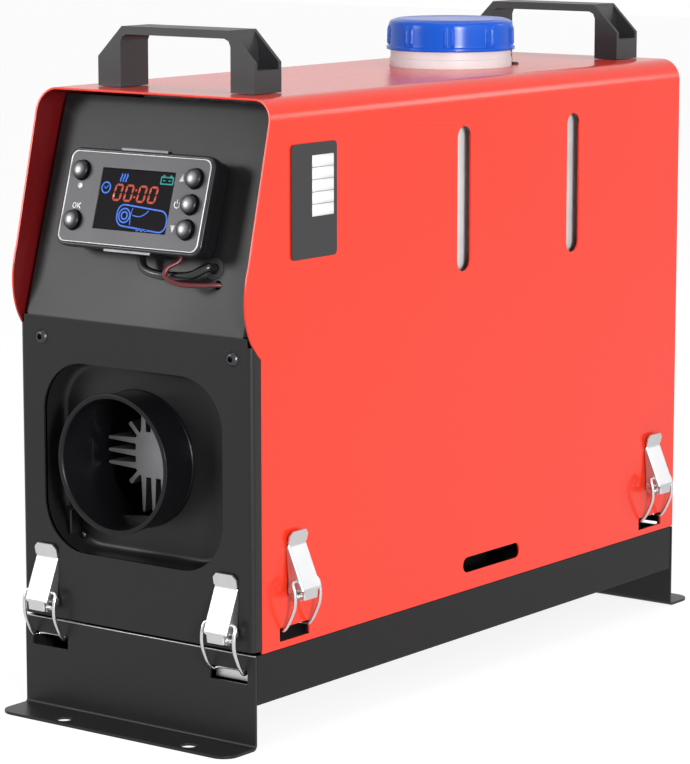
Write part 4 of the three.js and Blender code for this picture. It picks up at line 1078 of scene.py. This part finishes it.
def controller_body():
    """Controller: a black case with a lip, a silver rim, a grey film plate, and black rings of painted shade
    round the buttons.
    """
    place = SLOPE.moved(up=CONTROLLER)
    width, height = FACE_SIZE[0] + 4.4 * MM, FACE_SIZE[1] + 4.4 * MM

    def outline(inset, out):
        loop = rounded_box((0, 0), width - 2 * inset, height - 2 * inset, 6 * MM - min(inset, 4 * MM), 9)
        return raised(loop, out)

    section = [(3.0, 15.9), (1.6, 16.9), (0.9, 17.1), (0.3, 16.8), (0, 16.1), (0, 11.4), (0.25, 10.9),
               (1.0, 10.7), (1.1, 10.2), (1.1, 4.6), (1.6, 3.3), (2.9, 2.8)]
    case = loft("controller_shell", [outline(inset * MM, out * MM) for inset, out in section], place)
    settle(hard_edges(case, 50), "gloss", "black_plastic", "controller_case")
    rim_section = [(-0.45, 16.9), (-0.45, 17.6), (-0.25, 17.8), (0.0, 17.8), (0.2, 17.6), (0.2, 16.9)]
    rim = band("controller_rim", lambda inset: rounded_box((0, 0), FACE_SIZE[0] - 2 * inset * MM,
                                                           FACE_SIZE[1] - 2 * inset * MM, 4.2 * MM, 9),
               [(inset, out * MM) for inset, out in rim_section], place)
    settle(hard_edges(rim, 60), "silver", "bright_steel")
    slack = 0.4 * MM
    window = rounded_box((0, 0), SCREEN_SIZE[0] + slack, SCREEN_SIZE[1] + slack, 0.4 * MM, 3)
    holes = [ring(spot, 2.5 * MM, 20) for spot in BUTTONS.values()]
    face = plate("controller_film", [rounded_box((0, 0), *FACE_SIZE, 4 * MM, 9), window, *holes], place,
                 FACE_OUT - 1.4 * MM, FACE_OUT)
    settle(soften(face, 0.12 * MM), "film", "face_grey", "controller_face")
    # Painted shade: flat black rings round the buttons stand in for the shade in the wells they sit in.
    shade_rings = [ring(spot, radius * MM, count)
             for spot in BUTTONS.values() for radius, count in ((5.5, 40), (2.6, 20))]
    shade_ring = plate("button_wells", shade_rings, place, FACE_OUT + 0.01 * MM, FACE_OUT + 0.2 * MM)
    settle(shade_ring, "screen", "black_plastic")
    screen = merged_copy("controller_screen", "display_window", 0.15 * MM)
    settle(screen, "screen", "screen_black", "controller_screen")
    for part, out in (("clip_upper", 1), ("clip_lower", -1)):
        edge = out * (height / 2 + 0.5 * MM)
        bar = plate(part, [rounded_box((0, edge), 31 * MM, 1.4 * MM, 0.4 * MM, 4)], place, 12.6 * MM, 16 * MM)
        settle(soften(bar, 0.2 * MM), "clip", "black_plastic")


def control_buttons():
    """Domed buttons: a turned form, a quarter ellipse over a short wall, on its stem."""
    turn = np.linspace(0, math.pi / 2, 12)
    dome = np.column_stack([BUTTON_RADIUS * np.cos(turn), BUTTON_GAP + (0.9 + 2.1 * np.sin(turn)) * MM])
    dome[-1, 0] = 0
    stem = [(0, -3.5 * MM), (1.9 * MM, -3.5 * MM), (1.9 * MM, BUTTON_GAP),
            (BUTTON_RADIUS - 0.3 * MM, BUTTON_GAP), (BUTTON_RADIUS, BUTTON_GAP + 0.3 * MM)]
    profile = np.concatenate([stem, dome])
    for name, (x, up) in BUTTONS.items():
        button = lathe(f"domed_{name}", profile, SLOPE.moved(x, CONTROLLER + up, FACE_OUT), 56)
        settle(hard_edges(button, 50), "button", "button_metal", f"button_{name}", body=f"{name}_button")


def seven_bars(x, up, width, height, thick, bars):
    """Bars of a seven-bar digit, in millimetres: each is a six-sided bar with pointed ends."""
    half, t = height / 2, thick / 2
    spots = {"a": (0, half), "g": (0, 0), "d": (0, -half), "f": (-width / 2, half / 2),
             "b": (width / 2, half / 2), "e": (-width / 2, -half / 2), "c": (width / 2, -half / 2)}
    loops = []
    for bar in bars:
        upright = spots[bar][0] != 0
        reach = (half if upright else width) / 2 - 0.12
        side = reach - t
        shape = np.array([(-reach, 0), (-side, t), (side, t), (reach, 0), (side, -t), (-side, -t)])
        loops.append((shape[:, ::-1] if upright else shape) + spots[bar] + np.array([x, up]))
    return loops


def sign(name, loops, finish, slot, out, thick):
    """Flat figure in millimetres, raised a little from the controller's face."""
    piece = plate(name, [np.array(loop) * MM for loop in loops], SLOPE.moved(up=CONTROLLER), out, out + thick)
    settle(piece, finish, slot)


def display_signs():
    """Lit signs: four digits, a battery, a clock, warm-air waves and a plain heater outline."""
    level, out, thick = 3.6, 17.22 * MM, 0.1 * MM
    digits = [bar for x in (-11.6, -4.4, 4.2, 11.4) for bar in seven_bars(x, level, 4.4, 7.9, 1.15, "abcdef")]
    digits += [ring((-0.1, level + side * 1.8), 0.6, 16) for side in (-1, 1)]
    slant = [np.column_stack([loop[:, 0] + (loop[:, 1] - level) * 0.14, loop[:, 1]]) for loop in digits]
    sign("lit_digits", slant, "digits", "screen_black", out, thick)
    clock = np.array([-20.0, 5.6])
    blue = stroke(ring(clock, 2.8, 32), 0.8, True)
    blue += stroke(clock + [(-1.3, 0.6), (0, -0.6), (1.3, 1.2)], 0.6)
    along = np.linspace(-1, 1, 14)
    for shift in (-1.8, 0, 1.8):
        blue += stroke(np.column_stack([-9.2 + shift + 0.35 * np.sin(along * 3), 11.3 + along * 2.1]), 0.8)
    middle = np.array([6.9, -8.7])
    body = rounded_box(middle, 33, 11, 4.6, 9)
    blue += stroke(np.column_stack([body[:, 0], body[:, 1] - (body[:, 0] - middle[0]) * 0.07]), 0.8, True)
    for radius, count in ((3.6, 32), (1.9, 24)):
        blue += stroke(ring(middle + (-11.6, 0.8), radius, count), 0.8, True)
    blue += stroke(curve_through(middle + [(-6.4, 1.2), (-2, 0.8), (1.6, 2.2), (3.8, 4.2)], 14), 0.5)
    blue += stroke(middle + [(-6.9, 5.0), (-7.6, 0.8), (-7.1, -4.0)], 0.5)
    blue += [rounded_box(middle + (x, -6.1), 1.6, 1.1, 0.2, 3) for x in (-1.6, 1.2, 4.0)]
    sign("lit_signs", blue, "signs", "screen_black", out, thick)
    cell = np.array([19.0, 11.4])
    box = [rounded_box(cell, 8.4, 4.2, 0.4, 4), rounded_box(cell, 7.0, 2.8, 0.3, 4)]
    box += [rounded_box(cell + (x, 2.5), 1.4, 0.7, 0.1, 3) for x in (-2.3, 2.3)]
    box += [rounded_box(cell + (x, 0), 1.6, 0.6, 0.1, 3) for x in (-1.8, 1.8)]
    sign("lit_battery", box, "teal", "screen_black", out, thick)


def face_signs():
    """White signs beside the buttons: two triangles, a dot, OK, and a power sign."""
    signs = [[(27.1, 11.6), (30.7, 11.6), (28.9, 15.4)], [(26.6, -10.8), (30.0, -10.8), (28.3, -14.6)],
             ring((-37.3, 5.6), 1.5, 24)]
    signs += stroke(arc((28.4, -0.2), 1.7, math.radians(130), math.radians(410), 26), 0.55)
    signs += stroke([(28.4, 0.2), (28.4, 2.4)], 0.55)
    signs += stroke(ring((0, 0), 1.0, 28) * (1.05, 1.3) + (-38.6, -4.9), 0.5, True)
    for line in ([(-36.6, -6.4), (-36.6, -3.4)], [(-34.6, -3.4), (-36.2, -4.9)],
                 [(-36.0, -4.8), (-34.5, -6.4)]):
        signs += stroke(line, 0.5)
    sign("white_signs", signs, "ink", "face_grey", FACE_OUT + 0.01 * MM, 0.08 * MM)


# ---------------------------------------------------------------- leads, hoses and label
LEAD_LOW = CONTROLLER - FACE_SIZE[1] / 2 - 2.2 * MM
UNIT_FRONT = corners("control_unit")[0][1]
UNIT_LEVEL = (corners("control_unit")[0][2] + corners("control_unit")[1][2]) / 2


def on_slope(x, y, z):
    """A point of the whole heater as (across, up, out) of the slope."""
    return SLOPE.axes @ (np.array([x, y, z]) - SLOPE.origin)


def leads():
    """Controller lead and its red wire, from the case, under it and through the slope to the control unit.

    Each path is given in millimetres of the slope, then as one point of (x, before, above) the control unit's
    front, and last as the steps by which it ends at x on that front.
    """
    low = LEAD_LOW / MM
    black = [(4, low + 2.5, 8.5), (4, low - 1.5, 8.5), (7.5, low - 6.8, 9.5), (16, low - 9.4, 10.2),
             (27, low - 9.6, 9.4), (38, low - 8, 8), (45.1, 32.4, 6), (46.5, 33, 3), (46.5, 33, -3)]
    red = [(31, low + 2.5, 10), (30.7, low - 2, 11), (27, low - 6.5, 14.4), (26.6, low - 10.4, 15),
           (33, low - 13.4, 12.6), (44, low - 12.4, 6.6), (52, 25, 0), (52, 23, -6)]
    for name, visible, inner, end, count, diameter, sides, finish, slot, node in (
            ("black_lead", black, (43, 18, 22), (30, 7, 3, 0.3), 220, 4.6, 16, "lead", "dark_rubber",
             "controller_lead"),
            ("red_lead", red, (44, 12, 8), (40, 6, 3, 0.3), 200, 2.6, 12, "red wire", "red_wire",
             "controller_lead_red")):
        stops = [inner, *((end[0], gap, 0) for gap in end[1:])]
        hidden = [on_slope(x * MM, UNIT_FRONT - before * MM, UNIT_LEVEL + above * MM)
                  for x, before, above in stops]
        path = SLOPE(curve_through(np.concatenate([np.array(visible) * MM, hidden]), count))
        settle(tube(name, path, diameter * MM, sides), finish, slot, node)
    profile = rounded_loop([(2.7, 0.2), (5.7, 0.2), (5.4, 1.7), (3.3, 2.1), (2.7, 1.9)], 0.25, 4) * MM
    grommet = lathe("lead_bush", profile, SLOPE.moved(46.5 * MM, 33 * MM), 40)
    settle(hard_edges(grommet, 60), "rubber", "dark_rubber", "lead_grommet")


def rating_plate():
    """Label: black film with five blank white cells, one above another, and hairlines between them."""
    low, high = corners("rating_label")
    place = RIGHT.moved(across=(low[1] + high[1]) / 2, up=(low[2] + high[2]) / 2)
    width, height = high[1] - low[1], high[2] - low[2]
    base = plate("label_film", [rounded_box((0, 0), width, height, 2.5 * MM, 8)], place, low[0], high[0])
    settle(soften(base, 0.1 * MM), "label", "label_black", "rating_label")
    left, right, top, bottom = -1.9 * MM, 15.9 * MM, 22.8 * MM, -8.2 * MM
    row, line = (top - bottom) / 5, 0.25 * MM
    cells = [rounded_box(((left + right) / 2, top - (k + 0.5) * row), right - left, row - line, 0.15 * MM, 3)
             for k in range(5)]
    block = plate("label_cells", cells, place, high[0] + 0.01 * MM, high[0] + 0.06 * MM)
    settle(block, "cells", "label_black")


# ---------------------------------------------------------------- draw latches
def lever_skin(name, place, sizes):
    """Pressed lever: a channel carried along its side profile.

    Row i of the grid stands on the profile, and its section has a flat middle, a bend each side and a cheek.
    The bend opens and the cheek vanishes towards the finger tab, which is flat.
    """
    profile = rounded([(3.4, 49.0), (1.8, 42.0), (11.2, 20.0), (10.6, 14.6)], [3.0, 2.2], 9) * MM
    profile = spaced(profile, 1.0 * MM)
    run = np.linalg.norm(np.diff(profile, axis=0), axis=1)
    walked = np.concatenate([[0], np.cumsum(run)])[:, None]
    heading = np.gradient(profile, axis=0)
    heading /= np.linalg.norm(heading, axis=1)[:, None]
    inward = np.column_stack([heading[:, 1], -heading[:, 0]])
    total = walked[-1, 0]
    half, bend = 7.5 * MM, 1.0 * MM
    tab, corner = 6.6 * MM, total - 5.4 * MM
    opened = np.clip((walked - tab) / (1.5 * MM), 0, 1)
    angle = opened * math.pi / 2
    chamfer = np.clip(2.4 * MM - walked, 0, None)
    tongue = np.clip((walked - corner - 0.9 * MM) / (0.5 * MM), 0, 1) * 1.9 * MM
    cheek = opened * np.clip(0.4 * MM + (walked - tab) * 0.33, 0, 7.8 * MM)
    cheek = cheek * np.clip((total - walked) / (2.2 * MM) + 0.55, 0, 1)
    share = np.linspace(0, 1, 6)[None, :]
    flat = half - bend - chamfer - tongue
    arc_x = flat + np.where(opened > 0, bend * np.sin(angle * share), bend * share)
    arc_in = bend * (1 - np.cos(angle * share))
    down = np.linspace(0.25, 1, 4)[None, :]
    side_x = np.concatenate([arc_x, arc_x[:, -1:] + cheek * down * np.cos(angle)], axis=1)
    side_in = np.concatenate([arc_in, arc_in[:, -1:] + cheek * down], axis=1)
    middle = np.linspace(-0.75, 0.75, 4)[None, :] * flat
    x = np.concatenate([-side_x[:, ::-1], middle, side_x], axis=1)
    into = np.concatenate([side_in[:, ::-1], np.zeros_like(middle), side_in], axis=1)
    out = profile[:, :1] + inward[:, :1] * into
    up = profile[:, 1:] + inward[:, 1:] * into
    points = np.stack([x, up, out], axis=-1)
    rows, columns = x.shape
    lever = put_mesh(name, place(points.reshape(-1, 3)), [grid_faces(rows, columns, round_columns=False)])
    wall = lever.modifiers.new("sheet", "SOLIDIFY")
    wall.thickness = sizes.lever_sheet
    wall.offset = -1
    wall.use_even_offset = False
    lever.data.set_sharp_from_angle(angle=math.radians(60))
    return soften(lever, 0.15 * MM)


def bail_wire(name, place, hook, sizes):
    """Wire bail: from its eyes down both sides, out round the wall's edge and across behind it."""
    side = 10.3
    line = np.array([
        (side - 3.9, 24.0, 6.0), (side - 1.5, 24.0, 6.0), (side - 0.2, 23.0, 6.5), (side, 19.0, 8.0),
        (side, 12.0, 8.0), (side, 5.8, 5.6), (side, 0.7, 2.7), (side, -1.5, 0.4),
        (side - 0.2, -1.6, 1.4 - hook), (side - 1.6, -1.0, -hook),
    ])
    line = np.concatenate([line, line[::-1] * (-1, 1, 1)]) * MM
    return hard_edges(tube(name, place(curve_through(line, 150)), sizes.bail_wire, 12), 60)


def draw_latch(name, place, hook, sizes):
    """One latch: keeper on the wall, lever on its pin and wire bail through the window."""
    keeper = merged_copy(f"{name}_latch_keeper", f"{name}_hasp_seat", 0.2 * MM)
    settle(keeper, "steel", "bright_steel", f"{name}_latch_keeper")
    lever = lever_skin(f"{name}_hasp_lever", place, sizes)
    settle(lever, "steel", "bright_steel", f"{name}_latch_lever", body=f"{name}_lever")
    bail = bail_wire(f"{name}_hasp_wire", place, hook, sizes)
    settle(bail, "wire", "bright_steel", f"{name}_latch_bail", body=f"{name}_bail")


def all_latches(sizes):
    """Two latches on the front and two on each side wall."""
    for side, sign in (("left", -1), ("right", 1)):
        place = FRONT.moved(sign * FRONT_LATCH[0], FRONT_LATCH[1], -FACE)
        draw_latch(f"front_{side}", place, 2.9, sizes)
    wall = SHELL_HIGH[0]
    for end, y in SIDE_LATCHES.items():
        draw_latch(f"right_{end}", RIGHT.moved(y, SIDE_LATCH_LEVEL, wall), 4.6, sizes)
        draw_latch(f"left_{end}", LEFT.moved(-y, SIDE_LATCH_LEVEL, wall), 4.6, sizes)


# ---------------------------------------------------------------- inside
INNER_FINISHES = {
    "fuel_tank": "tank", "heater_case": "casing", "blower_motor": "brushed", "blower_wheel": "casing",
    "exhaust_pipe": "cast", "intake_pipe": "casing", "fuel_pump": "brushed", "tank_hose": "rubber",
    "pump_hose": "rubber", "control_unit": "casing", "cap_seal": "rubber", "controller_bracket": "plastic",
}


def inner_parts():
    """Finishes of the kept solids, the base tray, and the catch plate behind the right front window."""
    for node, name in INNER_FINISHES.items():
        paint(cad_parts[node], name)
    settle(merged_copy("base_tray", "base_pan", 0.5 * MM, 3), "tray", "black_coat", "base_tray")
    across, up = FRONT_LATCH
    loop = rounded_box((across, up - LATCH_WINDOW[1] / 2), 23.6 * MM, 6.2 * MM, 0.4 * MM, 3)
    plate_front = -FACE - 4.6 * MM
    catch = plate("catch_plate", [loop], FRONT, plate_front - 1 * MM, plate_front)
    settle(soften(catch, 0.15 * MM), "steel", "bright_steel")


# ---------------------------------------------------------------- studio
FLOOR_REACH = 6.0
FLOOR_GLOW = 1.35
FLOOR_GLOW_SHARE = 0.62
WORLD_LIGHT = 0.30
# place, point that it faces, width and power in watts
LAMPS = {
    "side lamp": ((2.0, -0.3, 1.0), (0, 0, 0.2), 1.3, 8),
    "vent lamp": ((1.50, -1.15, 0.45), (0.08, 0, 0.25), 0.3, 25),
    "rear side lamp": ((1.05, 1.45, 0.75), (0.08, 0, 0.1), 0.4, 2.5),
    "front lamp": ((-0.50, -0.75, 0.46), (0, -0.2, 0.24), 0.24, 2.0),
    "top lamp": ((0.1, 0.1, 1.9), (0, 0, 0.2), 1.2, 7),
}
CAMERA_SPOT = (1.0708, -1.4431, 0.4506)
CAMERA_TURN = (90 - 9.36, 0, 37.0)
CAMERA_LENS = 153.8


def area_lamp(name, spot, target, size, power):
    """Soft square lamp that faces a point."""
    lamp = bpy.data.lights.new(name, "AREA")
    lamp.size = size
    lamp.energy = power
    holder = bpy.data.objects.new(name, lamp)
    holder.location = spot
    holder.rotation_euler = (Vector(target) - Vector(spot)).to_track_quat("-Z", "Y").to_euler()
    bpy.context.scene.collection.objects.link(holder)


def studio():
    """Pale floor that keeps the shadow, white surroundings, soft lamps and the camera."""
    scene = bpy.context.scene
    scene.view_settings.view_transform = "Standard"
    reach = FLOOR_REACH
    floor = put_mesh("studio_floor", np.array([(-reach, -reach, 0), (reach, -reach, 0), (reach, reach, 0),
                                               (-reach, reach, 0)]), [np.array([[0, 1, 2, 3]])])
    ground = Finish("pale floor", Base_Color=(0.8, 0.8, 0.8, 1), Roughness=0.7)
    glow = ground.node("ShaderNodeEmission", inputs={"Strength": FLOOR_GLOW})
    surface = ground.node("ShaderNodeMixShader", inputs={
        0: ground.seen() * FLOOR_GLOW_SHARE, 1: Value(ground, ground.shader.outputs[0]), 2: glow})
    ground.tree.links.new(surface.socket, ground.tree.nodes["Material Output"].inputs["Surface"])
    floor.data.materials.append(ground.material)
    scene.world = bpy.data.worlds.new("studio")
    scene.world.use_nodes = True
    around = Nodes(scene.world.node_tree)
    background = around.tree.nodes["Background"]
    background.inputs["Color"].default_value = (1, 1, 1, 1)
    strength = around.seen() * (1 - WORLD_LIGHT) + WORLD_LIGHT
    around.tree.links.new(strength.socket, background.inputs["Strength"])
    for name, lamp in LAMPS.items():
        area_lamp(name, *lamp)
    camera = bpy.data.objects.new("camera", bpy.data.cameras.new("camera"))
    camera.location = CAMERA_SPOT
    camera.rotation_euler = [math.radians(angle) for angle in CAMERA_TURN]
    camera.data.lens = CAMERA_LENS
    camera.data.sensor_width = 36
    scene.collection.objects.link(camera)
    scene.camera = camera


# ---------------------------------------------------------------- operators
class PieceOperator:
    """What the operators share: execute makes the pieces, and an error in them stops the script."""

    bl_options = {"REGISTER", "UNDO"}

    def execute(self, context):
        if not MATERIALS:
            MATERIALS.update(make_finishes(context.scene.heater_colours))
        self.make(context.scene.heater_sizes)
        return {"FINISHED"}


class HEATER_OT_housing(PieceOperator, Operator):
    """Fold the red housing"""

    bl_idname = "heater.housing"
    bl_label = "Red Housing"

    def make(self, sizes):
        red_housing(sizes)


class HEATER_OT_panels(PieceOperator, Operator):
    """Fold the black panels and the feet"""

    bl_idname = "heater.panels"
    bl_label = "Black Panels"

    def make(self, sizes):
        face_panel(sizes)
        recess_pan()
        recess_tab()
        back_panel(sizes)
        folded_foot("front_step", "front_foot", FRONT, sizes, (-1, 1))
        folded_foot("rear_step", "rear_foot", REAR, sizes, ())
        foot_edge(sizes)


class HEATER_OT_outlet(PieceOperator, Operator):
    """Turn the hot-air collar and make the finned core"""

    bl_idname = "heater.outlet"
    bl_label = "Hot-Air Outlet"

    def make(self, sizes):
        duct_collar()
        finned_core()


class HEATER_OT_fuel(PieceOperator, Operator):
    """Turn the fuel cap and the neck"""

    bl_idname = "heater.fuel"
    bl_label = "Fuel Cap"

    def make(self, sizes):
        screw_cap(sizes)
        filler_neck()


class HEATER_OT_fittings(PieceOperator, Operator):
    """Make the handles, the screws and the label"""

    bl_idname = "heater.fittings"
    bl_label = "Handles and Screws"

    def make(self, sizes):
        carry_handles()
        panel_screws()
        rating_plate()


class HEATER_OT_controller(PieceOperator, Operator):
    """Make the controller with its buttons, signs and leads"""

    bl_idname = "heater.controller"
    bl_label = "Controller"

    def make(self, sizes):
        controller_body()
        control_buttons()
        display_signs()
        face_signs()
        leads()


class HEATER_OT_latches(PieceOperator, Operator):
    """Press the levers and bend the wires of the draw latches"""

    bl_idname = "heater.latches"
    bl_label = "Draw Latches"

    def make(self, sizes):
        all_latches(sizes)


class HEATER_OT_inside(PieceOperator, Operator):
    """Finish the base tray and the parts inside"""

    bl_idname = "heater.inside"
    bl_label = "Inner Parts"

    def make(self, sizes):
        inner_parts()


class HEATER_OT_studio(PieceOperator, Operator):
    """Set up the floor, the lamps and the camera"""

    bl_idname = "heater.studio"
    bl_label = "Studio"

    def make(self, sizes):
        studio()


OPERATORS = (HEATER_OT_studio, HEATER_OT_housing, HEATER_OT_panels, HEATER_OT_outlet, HEATER_OT_fuel,
             HEATER_OT_fittings, HEATER_OT_controller, HEATER_OT_latches, HEATER_OT_inside)


class HEATER_PT_pieces(Panel):
    """Lists the settings and the pieces of the heater"""

    bl_idname = "HEATER_PT_pieces"
    bl_label = "Diesel Air Heater"
    bl_space_type = "VIEW_3D"
    bl_region_type = "UI"
    bl_category = "Air Heater"

    def draw(self, context):
        for group in (context.scene.heater_sizes, context.scene.heater_colours):
            for setting in group.__annotations__:
                self.layout.prop(group, setting)
        for operator in OPERATORS:
            self.layout.operator(operator.bl_idname)


CLASSES = (HeaterSizes, HeaterColours, *OPERATORS, HEATER_PT_pieces)


def register():
    for each in CLASSES:
        bpy.utils.register_class(each)
    bpy.types.Scene.heater_sizes = PointerProperty(type=HeaterSizes)
    bpy.types.Scene.heater_colours = PointerProperty(type=HeaterColours)


def unregister():
    del bpy.types.Scene.heater_colours
    del bpy.types.Scene.heater_sizes
    for each in reversed(CLASSES):
        bpy.utils.unregister_class(each)


def main():
    register()
    for operator in OPERATORS:
        group, name = operator.bl_idname.split(".")
        getattr(getattr(bpy.ops, group), name)()
    bpy.context.view_layer.update()


if __name__ == "__main__":
    main()
